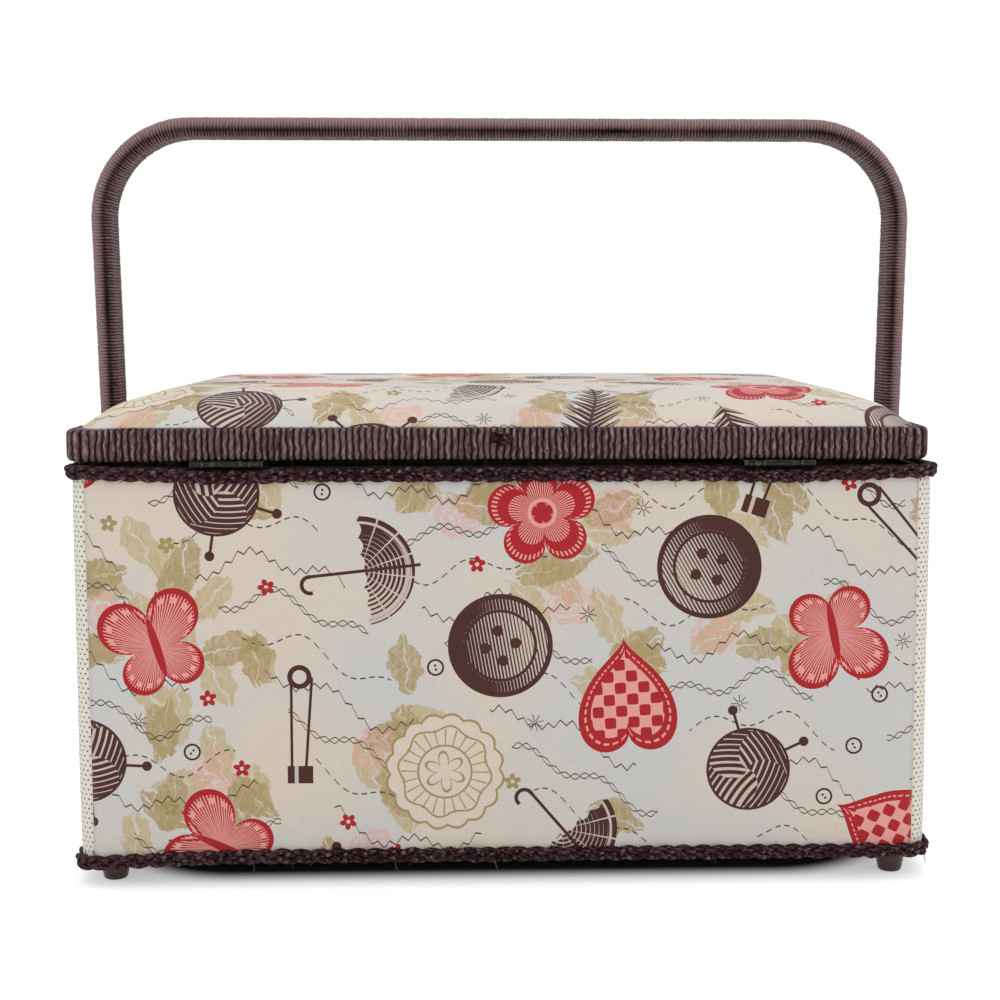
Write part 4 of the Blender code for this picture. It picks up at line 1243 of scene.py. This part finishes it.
def pad_grid(name, step, inset=0.0):
    """Unit coordinates and places of a grid over a node's box, drawn in to round corners."""
    middle, size = middle_and_size(name)
    half_x, half_y = size.x / 2 - inset, size.y / 2 - inset
    columns, rows = round(2 * half_x / step), round(2 * half_y / step)
    grid = []
    for row in range(rows + 1):
        v = 2 * row / rows - 1
        line = []
        for column in range(columns + 1):
            u = 2 * column / columns - 1
            rounded = (abs(u) ** 24 + abs(v) ** 24) ** (1 / 24)
            draw = max(abs(u), abs(v)) / rounded if rounded else 1
            line.append((u, v, middle.x + u * draw * half_x, middle.y + v * draw * half_y))
        grid.append(line)
    return grid


class BASKET_OT_stage(bpy.types.Operator):
    """Pale floor, white surroundings, soft light and the camera"""

    bl_idname = "basket.stage"
    bl_label = "Stage"

    def execute(self, context):
        stage = context.scene.basket_stage
        context.scene.view_settings.view_transform = "Standard"
        self.world(context, stage.sky)
        self.floor(context)
        lamps = (
            ("front", (-0.5, -1.5, 1.25), 1.3, stage.lamps),
            ("side", (1.4, -0.9, 0.9), 1.3, stage.lamps * 0.45),
            ("top", (0.1, 0.35, 1.7), 1.4, stage.lamps * 1.8),
            ("far", (-0.3, 1.5, 1.1), 1.3, stage.lamps * 0.6),
        )
        aim = Vector((0, 0, 0.12))
        for name, place, size, power in lamps:
            data = bpy.data.lights.new(name, "AREA")
            data.energy = power
            data.size = size
            lamp = placed(name, data)
            lamp.location = place
            lamp.rotation_euler = (aim - Vector(place)).to_track_quat("-Z", "Y").to_euler()

        # Solved on the photograph's edges: 6.19 degrees down and 1.9 degrees to the right
        data = bpy.data.cameras.new("camera")
        data.lens = stage.focal_length
        data.sensor_width = 36
        data.shift_x = -0.0534
        data.clip_start = 0.01
        camera = placed("camera", data)
        camera.location = (-3.6 * MM, -825.2 * MM, 234.9 * MM)
        camera.rotation_euler = (math.radians(90 - 6.19), 0, math.radians(-1.9))
        context.scene.camera = camera
        return {"FINISHED"}

    def world(self, context, sky):
        """White where it is seen, straight or in a reflection, and softer as a light."""
        world = bpy.data.worlds.new("Studio")
        world.use_nodes = True
        tree = world.node_tree
        tree.nodes.clear()
        rays = add(tree, "LightPath")
        known = {
            "camera": rays.outputs["Is Camera Ray"],
            "glossy": rays.outputs["Is Glossy Ray"],
            "glass": rays.outputs["Is Transmission Ray"],
        }
        steps = f"""
            strength: camera, max glossy, max glass, *+ {1 - sky} {sky}
        """
        strength = work_out(tree, known, steps)["strength"]
        light = {"Color": linear("ffffff"), "Strength": strength}
        light = add(tree, "Background", light)
        add(tree, "OutputWorld", {"Surface": light})
        context.scene.world = world

    def floor(self, context):
        """White card that keeps the basket's shadow, adds a painted shadow near it, and glows white to the
        eye further off.
        """
        material, tree = surface("White card")
        reach_x, reach_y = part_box("right_cover")[1].x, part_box("front_cover")[1].y
        inset = 60 * MM
        place = add(tree, "TexCoord").outputs["Object"]
        rays = add(tree, "LightPath")
        known = {
            **dict(zip("xy", add(tree, "SeparateXYZ", (place,)).outputs)),
            "camera": rays.outputs["Is Camera Ray"],
            "glossy": rays.outputs["Is Glossy Ray"],
            "glass": rays.outputs["Is Transmission Ray"],
        }
        steps = f"""
            x: x, abs, - {reach_x - inset}, max 0
            y: y, abs, - {reach_y - inset}, max 0
            far: x, * x
            far: y, *+ y far, sqrt
            seen: camera, max glossy, max glass
        """
        known = work_out(tree, known, steps)
        # Painted shadow: the card's colour turns dark from just inside the basket's edges inwards, and its
        # glow starts there and grows further out, so the card near the basket stays darker.
        ramps = (
            ("near", (known["far"], inset - 18 * MM, inset - 2 * MM, 0.0, 0.43)),
            ("wide", (known["far"], inset + 20 * MM, inset + 140 * MM, 0.0, 0.2)),
            ("card", (known["far"], inset - 18 * MM, inset, 0.08, 0.96)),
        )
        for name, terms in ramps:
            known[name] = add(tree, "MapRange", terms, interpolation_type="SMOOTHSTEP")
        steps = """
            glow: near, + wide, * seen
        """
        glow = work_out(tree, known, steps)["glow"]
        card = add(tree, "BsdfDiffuse", {"Color": known["card"]})
        light = add(tree, "Emission", {"Color": linear("ffffff"), "Strength": glow})
        both = add(tree, "AddShader", (card, light))
        add(tree, "OutputMaterial", {"Surface": both})
        reach = 4.0
        mesh = bpy.data.meshes.new("floor")
        corners = [(-reach, -reach, 0), (reach, -reach, 0), (reach, reach, 0), (-reach, reach, 0)]
        mesh.from_pydata(corners, [], [(0, 1, 2, 3)])
        mesh.materials.append(material)
        placed("floor", mesh)


class BASKET_OT_sides(bpy.types.Operator):
    """The four sides: cotton stretched over wadding, puffed, puckered at its edges and seamed"""

    bl_idname = "basket.sides"
    bl_label = "Sides"

    def execute(self, context):
        measure = sizes()
        printed, dotted = printed_cotton(), dotted_cotton()
        low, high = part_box("right_cover")
        width, depth = 2 * high.x, 2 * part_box("front_cover")[1].y
        radius = 7.5 * MM
        tall = high.z - 1.6 * MM - low.z
        bolt_low, bolt_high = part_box("right_pivot_bolt")
        pivot_z = (bolt_low.z + bolt_high.z) / 2 - low.z
        rng = np.random.default_rng(7)
        step = 2.6 * MM
        quarter = radius * math.pi / 2
        # The printed cotton stops just round each corner, and the dotted cotton takes the rest of it
        wide = width - 2 * radius + 0.3 * quarter
        deep = depth - 2 * radius + 1.7 * quarter
        start = -wide / 2
        sides = (
            ("back_cover", wide, printed, "printed_fabric"),
            ("right_cover", deep, dotted, "dotted_fabric"),
            ("front_cover", wide, printed, "printed_fabric"),
            ("left_cover", deep, dotted, "dotted_fabric"),
        )
        for name, span, material, slot in sides:
            phases = rng.uniform(0, TURN, 4)
            rows, pairs = [], []
            for z in np.linspace(0, tall, int(tall / step)):
                row, cloth = [], []
                for along in np.linspace(0, span, int(span / step)):
                    s = along - span / 2
                    place, out = edge_place(start + along, width, depth, radius)
                    edge = min(z, tall - z)
                    side_edge = span / 2 - abs(s)
                    swell = (1 - math.exp(-edge / (9 * MM))) * (1 - math.exp(-side_edge / (5 * MM)))
                    pull = math.exp(-((edge / (12 * MM)) ** 1.3)) * (1 - math.exp(-side_edge / (4 * MM)))
                    wave = math.sin(s / (4.3 * MM) + phases[0] + 1.6 * math.sin(s / (13 * MM) + phases[1]))
                    slack = math.sin(s / (47 * MM) + phases[2]) * math.sin(z / (31 * MM) + phases[3])
                    lift = measure.puff * swell + measure.pucker * pull * wave + 0.3 * MM * slack * swell
                    if name == "back_cover":
                        lift += self.crease(s, z)
                    if material is dotted:
                        far = math.hypot(s, z - pivot_z)
                        lift *= 1 - math.exp(-((far / (13 * MM)) ** 2))
                    row.append(place + out * lift + Vector((0, 0, low.z + z)))
                    cloth.append((start + along, z))
                rows.append(row)
                pairs.append(cloth)
            mesh = thickened(grid_mesh(name + "_cloth", rows, pairs), 1.2 * MM)
            side = piece(name + "_cloth", mesh, material, "basket", (name,))
            start += span
        return {"FINISHED"}

    def crease(self, s, z):
        """Two folds that fan up from the lower right corner of the photographed side."""
        lift = 0.0
        for lean, height in ((0.22, 0.8), (-0.3, 0.45)):
            start = Vector((157 * MM, 5 * MM))
            way = Vector((-lean, 1)).normalized()
            offset = Vector((s, z)) - start
            near = offset.dot(way) / (24 * MM)
            off = (offset.x * way.y - offset.y * way.x) / (2.8 * MM)
            lift += height * MM * math.exp(-off * off) * math.exp(-((near - 0.7) ** 2) * 2)
        return lift


class BASKET_OT_lid_cushion(bpy.types.Operator):
    """The lid's crowned padding under printed cotton, swelled by a cloth simulation"""

    bl_idname = "basket.lid_cushion"
    bl_label = "Lid cushion"

    def execute(self, context):
        low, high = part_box("lid_cover")
        rim_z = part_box("rim_winding")[1].z
        edge_z = rim_z - 0.3 * MM
        rise = 0.88 * (high.z - edge_z)
        # The padding bulges over the inner half of the rim
        grid = pad_grid("lid_cover", 4 * MM, -4.6 * MM)
        top, base = [], []
        for line in grid:
            crown = [1 - min(1, math.hypot(abs(u) ** 16, abs(v) ** 12)) for u, v, x, y in line]
            top.append([(x, y, edge_z + rise * share) for (u, v, x, y), share in zip(line, crown)])
            within = [low.x + MM < x < high.x - MM and low.y + MM < y < high.y - MM for u, v, x, y in line]
            under = [low.z + 0.2 * MM if inside else rim_z - 0.7 * MM for inside in within]
            base.append([(x, y, z) for (u, v, x, y), z in zip(line, under)])
        mesh = closed_pad("lid_cover_cloth", top, base)
        self.swell(context, mesh, edge_z)
        self.lay_cloth(mesh, len(grid), len(grid[0]))
        cotton = bpy.data.materials["Screen-printed quilting cotton"]
        obj = piece("lid_cover_cloth", mesh, cotton, "lid", ("lid_cover", "lid_cushion"))
        soft = obj.modifiers.new("Soft", "SUBSURF")
        soft.levels = 1
        soft.render_levels = 1
        return {"FINISHED"}

    def lay_cloth(self, mesh, rows, columns):
        """Cloth coordinates measured along the surface from its middle, so the print isn't stretched."""
        places = np.array([vert.co for vert in mesh.vertices])[: rows * columns]
        places = places.reshape(rows, columns, 3)
        pairs = []
        for axis in (1, 0):
            steps = np.linalg.norm(np.diff(places, axis=axis), axis=2)
            ways = np.insert(np.cumsum(steps, axis=axis), 0, 0, axis=axis)
            middle = np.take(ways, ways.shape[axis] // 2, axis=axis)
            pairs.append(ways - np.expand_dims(middle, axis))
        flat = [(u + 0.43, v + 0.72) for u, v in zip(pairs[0].ravel(), pairs[1].ravel())]
        cloth_layer(mesh, flat + flat)

    def swell(self, context, mesh, edge_z):
        """Swells the padding under its cloth for 20 frames, each point moving no further than the cap."""
        start = np.array([vert.co for vert in mesh.vertices])
        work = placed("swelling", mesh.copy())
        held = work.vertex_groups.new(name="held")
        fixed = [vert.index for vert in mesh.vertices if vert.co.z <= edge_z + 0.6 * MM]
        held.add(fixed, 1.0, "REPLACE")
        cloth = work.modifiers.new("Cloth", "CLOTH")
        settings = cloth.settings
        settings.quality = 6
        settings.mass = 0.2
        settings.tension_stiffness = 12
        settings.compression_stiffness = 12
        settings.shear_stiffness = 6
        settings.bending_stiffness = 0.6
        settings.vertex_group_mass = "held"
        settings.use_pressure = True
        settings.uniform_pressure_force = 4
        settings.effector_weights.gravity = 0
        cloth.collision_settings.use_collision = False
        cloth.collision_settings.use_self_collision = False
        for number in range(1, 21):
            context.scene.frame_set(number)
        graph = context.evaluated_depsgraph_get()
        moved = work.evaluated_get(graph).to_mesh()
        step = np.array([vert.co for vert in moved.vertices]) - start
        far = np.linalg.norm(step, axis=1, keepdims=True)
        step *= np.minimum(1, sizes().swell / np.maximum(far, 1e-9))
        mesh.vertices.foreach_set("co", (start + step).ravel())
        mesh.update()
        bpy.data.objects.remove(work, do_unlink=True)
        context.scene.frame_set(1)


class BASKET_OT_windings(bpy.types.Operator):
    """The twisted paper cord wound round the lid's rim and round the handle, turn by turn"""

    bl_idname = "basket.windings"
    bl_label = "Wound cord"

    def execute(self, context):
        inks, measure = colours(), sizes()
        tree = winding_tree()
        look = (inks.cord, inks.cord_red, inks.cord_highlight, inks.cord_gap, measure.ply_pitch, True)
        cord = paper_cord("Twisted paper cord", *look)
        middle, size = middle_and_size("rim_winding")
        thick = 8.5 * MM
        points = ring_points(size.x - thick, size.y - thick, 10 * MM - thick / 2, middle.z, middle.x)
        points = [self.sag(point) for point in points]
        values = {
            "Turns": round(path_length(points) / measure.turn_pitch),
            "Rings a turn": 4,
            "Width": size.z + 0.3 * MM,
            "Height": thick,
            "Corner radius": 2.2 * MM,
            "Groove": measure.groove,
            "Facing": (0, 0, 1),
            "Loose": 0.35 * MM,
            "Bend": 1.3 * MM,
            "Uneven": 0.009,
            "Material": cord,
        }
        laid_along("rim_cord", points, tree, values, "lid", "twisted_cord", ("rim_winding",))
        place = Vector((middle.x, middle.y - size.y / 2, middle.z + 2 * MM))
        tie_off("rim_knot", place, "lid", "twisted_cord")

        points = self.bail_points()
        low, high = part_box("handle_winding")
        look = (inks.cord_on_handle, inks.cord, *look[2:])
        # The last value is the section's half width, which places the painted light and shade on its sides.
        cord = paper_cord("Twisted paper cord of the handle", *look, (high.y - low.y) / 2)
        values |= {
            "Turns": round(path_length(points) / measure.handle_pitch),
            "Width": high.y - low.y,
            "Height": 9.2 * MM,
            "Corner radius": 4.2 * MM,
            "Groove": measure.handle_groove,
            "Facing": (0, 1, 0),
            "Loose": 0.15 * MM,
            "Bend": 0.7 * MM,
            "Uneven": 0.004,
            "Material": cord,
        }
        laid_along("handle_cord", points, tree, values, "handle", "twisted_cord", ("handle_winding",))
        return {"FINISHED"}

    def sag(self, point):
        """The rim's band hangs a little lower at its left end, and less so at its right end."""
        low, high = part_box("rim_winding")
        left = math.exp(-(((point.x - low.x) / (60 * MM)) ** 2))
        right = math.exp(-(((point.x - high.x) / (60 * MM)) ** 2))
        return point - Vector((0, 0, (0.7 * left + 0.3 * right) * MM))

    def bail_points(self):
        """The bail's middle line: two legs that lean out a little, two bends and the straight top."""
        low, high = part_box("handle_winding")
        thick, bend, lean = 7.7 * MM, 41.5 * MM, math.radians(1.2)
        corner_x = high.x - thick / 2 - bend
        corner_z = high.z - thick / 2 - bend
        leg_x = corner_x + bend * math.cos(lean)
        leg_z = corner_z + bend * math.sin(lean)
        points = [Vector((leg_x - (leg_z - low.z) * math.tan(lean), 0, low.z))]
        steps = 14
        for step in range(steps + 1):
            angle = lean + (math.pi / 2 - lean) * step / steps
            points.append(Vector((corner_x + bend * math.cos(angle), 0, corner_z + bend * math.sin(angle))))
        points[1:] = [point + Vector((0, 0, 0.8 * MM)) for point in points[1:]]
        mirrored = [Vector((-x, y, z)) for x, y, z in points]
        return mirrored + points[::-1]


def tie_off(name, place, body, slot):
    """The knot that ties a cord off, a loose tangle on its outer face."""
    points = []
    for step in range(48):
        t = TURN * step / 48
        spread = 2 + math.cos(3 * t)
        x, z, y = spread * math.cos(2 * t), spread * math.sin(2 * t), math.sin(3 * t)
        points.append(place + Vector((1.35 * x, 0.6 * y, 0.9 * z)) * MM)
    cord = bpy.data.materials["Plaited paper cord"]
    values = {"Spacing": 0.8 * MM, "Radius": 0.85 * MM, "Material": cord}
    return laid_along(name, points, cord_tree(), values, body, slot, closed=True)


class BASKET_OT_plaits(bpy.types.Operator):
    """The plaited paper cord glued round the body's top and bottom edges, with its stray fibres"""

    bl_idname = "basket.plaits"
    bl_label = "Plaited edges"

    def execute(self, context):
        inks, measure = colours(), sizes()
        tree, hairs = plait_tree(), fibre_tree()
        ply = measure.plait_ply
        # The rim cord's colour serves as the plait's painted highlight.
        look = (inks.plait, inks.plait_dark, inks.cord, inks.plait_gap, ply, False)
        cord = paper_cord("Plaited paper cord", *look)
        for seed, name in enumerate(("top_braid", "bottom_braid")):
            middle, size = middle_and_size(name)
            points = ring_points(size.x - 2.2 * MM, size.y - 2.2 * MM, 8.5 * MM, middle.z, middle.x)
            values = {
                "Periods": round(path_length(points) / measure.plait_period),
                "Steps a period": 22,
                "Half width": 1.75 * MM,
                "Half thickness": 0.75 * MM,
                "Strand radius": 1.4 * MM,
                "Material": cord,
            }
            move = self.droop if name == "bottom_braid" else self.crowd
            points = [move(point) for point in points]
            laid_along(name + "_cord", points, tree, values, "basket", "plaited_cord", (name,))
            place = Vector(((-5 - 6 * seed) * MM, middle.y - size.y / 2, middle.z))
            tie_off(name + "_knot", place, "basket", "plaited_cord")
            values = {"Number": 150, "Length": 6 * MM, "Seed": seed + 3, "Material": cord}
            laid_along(name + "_fibres", points, hairs, values, "basket", "plaited_cord")
        return {"FINISHED"}

    def crowd(self, point):
        """The upper plait: up at its back corners, in behind the handle, down under the hinges."""
        low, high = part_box("top_braid")
        left = math.hypot(point.x - low.x, point.y - low.y) / (24 * MM)
        right = math.hypot(point.x - high.x, point.y - low.y) / (24 * MM)
        up = 1.4 * math.exp(-left * left) + 1.2 * math.exp(-right * right)
        pin_low, pin_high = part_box("right_hinge_pin")
        along = (abs(point.x) - pin_low.x) / (pin_high.x - pin_low.x)
        if point.y < 0:
            up -= 0.8 * math.exp(-((2.2 * (along - 0.5) / 1.3) ** 8))
        aside = 1.1 * math.exp(-((point.y / (34 * MM)) ** 8))
        return point + Vector((-math.copysign(aside, point.x), 0, up)) * MM

    def droop(self, point):
        """The slack of the lower plait where it has come loose at one corner."""
        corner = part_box("bottom_braid")[0]
        far = math.hypot(point.x - corner.x, point.y - corner.y) / (38 * MM)
        return point - Vector((0, 0, 2.2 * MM * math.exp(-far * far)))


class BASKET_OT_lining(bpy.types.Operator):
    """The body's lining, its quilted floor mat, and the lining under the lid with its trim"""

    bl_idname = "basket.lining"
    bl_label = "Lining"

    def execute(self, context):
        inks, measure = colours(), sizes()
        cloth = woven_cloth("Cotton lining", inks.lining, 0.8 * MM)
        low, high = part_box("body_lining")
        width, depth, tall = high.x - low.x, high.y - low.y, high.z - 2 * MM - low.z
        radius, thick = 4 * MM, 1.5 * MM
        around = edge_length(width, depth, radius)
        count = round(around / (2.6 * MM))
        loops = []
        for number in range(count):
            way = around * number / count
            place, out = edge_place(way, width, depth, radius)
            loop = [place - out * 0.2 * MM + Vector((0, 0, z)) for z in (low.z + tall, low.z)]
            for step in range(41):
                z = low.z + tall * step / 40
                edge = min(z - low.z, low.z + tall - z)
                pull = math.exp(-edge / (16 * MM))
                wave = math.sin(way / (3.6 * MM) + 1.7 * math.sin(way / (17 * MM)))
                lift = thick + (0.35 * (1 - pull) + 0.3 * pull * wave) * MM
                lift *= 0.55 if step in (0, 40) else 1.0
                loop.append(place - out * lift + Vector((0, 0, z)))
            loops.append(loop)
        mesh = ring_mesh("lining_walls", loops)
        walls = piece("lining_walls", mesh, cloth, "basket", ("body_lining",))

        low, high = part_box("floor_mat")
        top, base = [], []
        for line in pad_grid("floor_mat", 2.8 * MM, 0.4 * MM):
            heights = [self.quilt(x, y, u, v, measure.quilting) for u, v, x, y in line]
            top.append([(x, y, high.z - 3.2 * MM + 3.4 * MM * h) for (u, v, x, y), h in zip(line, heights)])
            base.append([(x, y, low.z + 0.1 * MM) for u, v, x, y in line])
        mesh = closed_pad("floor_mat_cloth", top, base)
        mat = piece("floor_mat_cloth", mesh, cloth, "basket", ("floor_mat",))

        low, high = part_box("lid_lining")
        top, base = [], []
        for line in pad_grid("lid_lining", 6 * MM, 0.2 * MM):
            top.append([(x, y, high.z) for u, v, x, y in line])
            base.append([(x, y, low.z + 0.8 * MM * max(u * u, v * v) ** 8) for u, v, x, y in line])
        mesh = closed_pad("lid_lining_cloth", top, base)
        panel = piece("lid_lining_cloth", mesh, cloth, "lid", ("lid_lining",))

        # The rim cord's colour serves as the braid's painted highlight.
        look = (inks.binding, inks.binding, inks.cord, inks.plait_gap, 2 * MM, False)
        braid = paper_cord("Gimp braid", *look)
        middle, size = middle_and_size("lid_lining")
        points = ring_points(size.x - 5 * MM, size.y - 5 * MM, 5 * MM, low.z - 0.3 * MM, middle.x)
        values = {
            "Periods": round(path_length(points) / (8 * MM)),
            "Steps a period": 10,
            "Half width": 0.2 * MM,
            "Half thickness": 1.1 * MM,
            "Strand radius": 0.55 * MM,
            "Material": braid,
        }
        plait = bpy.data.node_groups["Plaited cord"]
        laid_along("lid_lining_trim", points, plait, values, "lid", "lining_cloth")
        return {"FINISHED"}

    def quilt(self, x, y, u, v, pitch):
        """Height of diamond quilting: puffed between two sets of channels, low along the edge."""
        first = abs(math.sin(math.pi * (x + 0.8 * y) / pitch))
        second = abs(math.sin(math.pi * (x - 0.8 * y) / pitch))
        border = min(1, 14 * (1 - max(abs(u), abs(v))))
        return (first * second) ** 0.4 * (0.25 + 0.75 * border)


class BASKET_OT_lid_inside(bpy.types.Operator):
    """The gathered pocket and the pincushion under the lid"""

    bl_idname = "basket.lid_inside"
    bl_label = "Pocket and pincushion"

    def execute(self, context):
        inks = colours()
        cloth = bpy.data.materials["Cotton lining"]
        low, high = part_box("lid_pocket")
        wide, long = high.x - low.x, high.y - low.y
        rows, mouth = [], []
        for row in range(31):
            v = row / 30
            line = []
            for column in range(151):
                u = column / 150
                fold = math.sin(TURN * 17 * u + 1.4 * math.sin(TURN * 3 * u))
                side = min(1, 12 * min(u, 1 - u))
                bag = math.sin(math.pi * v) ** 0.7 if 0 < v < 1 else 0
                sag = 3.2 * MM * bag + 1.5 * MM * v
                deep = (0.5 + 1.3 * v) * MM * fold
                z = high.z - 0.7 * MM - side * (sag + deep * (0.4 + 0.6 * bag) + 0.6 * MM)
                line.append(Vector((low.x + wide * u, low.y + long * v, z)))
            rows.append(line[::-1])
            mouth = line
        mesh = thickened(grid_mesh("pocket_cloth", rows), 0.5 * MM)
        pocket = piece("pocket_cloth", mesh, cloth, "lid", ("lid_pocket",))
        binding = woven_cloth("Bias binding", inks.binding, 0.7 * MM)
        values = {"Spacing": 1.2 * MM, "Radius": 1.1 * MM, "Material": binding}
        cord = bpy.data.node_groups["Cord"]
        laid_along("pocket_binding", mouth, cord, values, "lid", "lining_cloth")

        low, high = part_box("pincushion")
        deep, border = high.z - low.z, 1.6 * MM
        top, base = [], []
        for line in pad_grid("pincushion", 1.5 * MM, 1.5 * MM):
            bottom, lid_side = [], []
            for u, v, x, y in line:
                crown = math.sqrt(1 - abs(u) ** 2.3) * math.sqrt(1 - abs(v) ** 2.3)
                r, a = math.hypot(u, v), math.atan2(v, u)
                tuft = 0.62 * math.exp(-((r / 0.13) ** 2)) + 0.12 * math.exp(-((r / 0.4) ** 2))
                gather = 0.05 * abs(math.cos(6 * a)) * math.exp(-(((r - 0.45) / 0.4) ** 2))
                ruck = 0.05 * math.sin(24 * a) * math.exp(-(((r - 1.0) / 0.25) ** 2))
                puffed = max(crown - tuft - gather + ruck, 0)
                bottom.append((x, y, high.z - border - (deep - border) * puffed))
                lid_side.append((x, y, high.z))
            top.append(lid_side)
            base.append(bottom)
        mesh = closed_pad("pincushion_cloth", top, base)
        red = woven_cloth("Pincushion cotton", inks.pincushion, 0.7 * MM)
        cushion = piece("pincushion_cloth", mesh, red, "lid", ("pincushion",))
        middle = (low + high) / 2
        points = [
            Vector((middle.x + 2.2 * MM * math.cos(t), middle.y + 2.2 * MM * math.sin(t), low.z + 6.4 * MM))
            for t in (TURN * step / 20 for step in range(20))
        ]
        values = {"Spacing": 0.7 * MM, "Radius": 2 * MM, "Material": binding}
        laid_along("pincushion_tuft", points, cord, values, "lid", "pincushion_cloth", closed=True)
        return {"FINISHED"}


class BASKET_OT_closure(bpy.types.Operator):
    """The closure: its elastic loop, and the stitches that hold its tab"""

    bl_idname = "basket.closure"
    bl_label = "Closure"

    def execute(self, context):
        inks = colours()
        low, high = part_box("closure_loop")
        radius = (high.y - low.y) / 2
        y = (low.y + high.y) / 2
        half = high.x - radius
        turn_z = low.z + radius + half
        points = [Vector((-half, y, high.z)), Vector((-half, y, (high.z + turn_z) / 2))]
        for step in range(17):
            angle = math.pi * (1 + step / 16)
            points.append(Vector((half * math.cos(angle), y, turn_z + half * math.sin(angle))))
        points += [Vector((half, y, (high.z + turn_z) / 2)), Vector((half, y, high.z))]
        elastic = woven_cloth("Braided elastic", inks.elastic, 0.5 * MM, 0.6)
        values = {"Spacing": 0.9 * MM, "Radius": radius, "Material": elastic}
        cord = bpy.data.node_groups["Cord"]
        laid_along("loop_cord", points, cord, values, "closure_loop", "elastic_cord", ("closure_loop",))

        low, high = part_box("closure_tab")
        inset, face = 1.3 * MM, high.y + 0.05 * MM
        left, right, bottom, top = low.x + inset, high.x - inset, low.z + inset, high.z - inset
        corners = ((left, bottom), (right, bottom), (right, top), (left, top))
        points = [Vector((x, face, z)) for x, z in corners]
        thread = woven_cloth("Waxed thread", inks.thread, 0.4 * MM, 0.5)
        values = {"Spacing": 2.2 * MM, "Stitch": 1.6 * MM, "Radius": 0.22 * MM, "Material": thread}
        laid_along("tab_stitches", points, stitch_tree(), values, "lid", "tab_leather", closed=True)
        return {"FINISHED"}


class BASKET_OT_screws(bpy.types.Operator):
    """The small screws of the hinges' leaves"""

    bl_idname = "basket.screws"
    bl_label = "Hinge screws"

    def execute(self, context):
        tree = screw_tree()
        steel = bpy.data.materials["Blackened steel"]
        plate = 0.7 * MM
        for body, part in (("basket", "body"), ("lid", "lid")):
            points = []
            for side in ("left", "right"):
                low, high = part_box(f"{side}_hinge_{part}_leaf")
                z = low.z + plate if part == "body" else high.z - plate
                across = high.y - 3.6 * MM
                for share in (0.14, 0.5, 0.86):
                    points.append(Vector((low.x + share * (high.x - low.x), across, z)))
            values = {"Radius": 1.5 * MM, "Height": 0.5 * MM, "Seed": 5, "Material": steel}
            name = f"hinge_{part}_screws"
            laid_along(name, points, tree, values, body, "hinge_steel", edges=False)
        return {"FINISHED"}


class BASKET_OT_finishes(bpy.types.Operator):
    """Finishes of the feet, hinges, pivots, button, tab, tray and boards, which keep their solids"""

    bl_idname = "basket.finishes"
    bl_label = "Finishes"

    def execute(self, context):
        inks = colours()
        feet = plastic("Moulded ABS", inks.foot, 0.34, 0.5 * MM, 0.02 * MM)
        dress([name for name in nodes if name.endswith("_foot")], feet)
        # Hinges and pivots are rubbed bare in patches and get a painted highlight along their edges.
        steel = metal_wear_and_highlight("Blackened steel", inks.steel, inks.steel_wear_and_highlight, 0.42, 0.62)
        dress([name for name in nodes if "_hinge_" in name], steel)
        brass = metal_wear_and_highlight("Antiqued brass", inks.brass, inks.brass_wear_and_highlight, 0.38, 0.5)
        dress([name for name in nodes if "_pivot_" in name], brass)
        dress(["closure_button"], plastic("Polished resin", inks.button, 0.22, 0.8 * MM, 0.01 * MM))
        dress(["closure_tab"], grained("Bonded leather", inks.leather, 0.9 * MM, 0.12 * MM, 0.55))
        dress(["tray"], plastic("Moulded polystyrene", inks.tray, 0.34, 0.7 * MM, 0.015 * MM))
        # Their near-black colour is painted shade for the gap under the rim.
        board = grained("Greyboard", inks.board, 0.6 * MM, 0.05 * MM, 0.85)
        dress([name for name in nodes if name.endswith(("_board", "_ledge"))], board)
        dress(["rim_frame", "handle_core"], board)
        return {"FINISHED"}


STEPS = (
    BASKET_OT_stage,
    BASKET_OT_sides,
    BASKET_OT_lid_cushion,
    BASKET_OT_plaits,
    BASKET_OT_windings,
    BASKET_OT_lining,
    BASKET_OT_lid_inside,
    BASKET_OT_closure,
    BASKET_OT_finishes,
    BASKET_OT_screws,
)


class BASKET_PT_panel(bpy.types.Panel):
    """Lists the steps that make the basket's looks"""

    bl_idname = "BASKET_PT_panel"
    bl_label = "Sewing basket"
    bl_space_type = "VIEW_3D"
    bl_region_type = "UI"
    bl_category = "Basket"

    def draw(self, context):
        for group_name, group in GROUPS.items():
            box = self.layout.box()
            for name in group.__annotations__:
                box.prop(getattr(context.scene, group_name), name)
        for step in STEPS:
            self.layout.operator(step.bl_idname)


GROUPS = {"basket_sizes": BasketSizes, "basket_colours": BasketColours, "basket_stage": BasketStage}
CLASSES = (*GROUPS.values(), *STEPS, BASKET_PT_panel)


def register():
    for item in CLASSES:
        bpy.utils.register_class(item)
    for name, group in GROUPS.items():
        setattr(bpy.types.Scene, name, PointerProperty(type=group))


def unregister():
    for name in GROUPS:
        delattr(bpy.types.Scene, name)
    for item in reversed(CLASSES):
        bpy.utils.unregister_class(item)


def main():
    register()
    for step in STEPS:
        group, name = step.bl_idname.split(".")
        getattr(getattr(bpy.ops, group), name)()


if __name__ == "__main__":
    main()
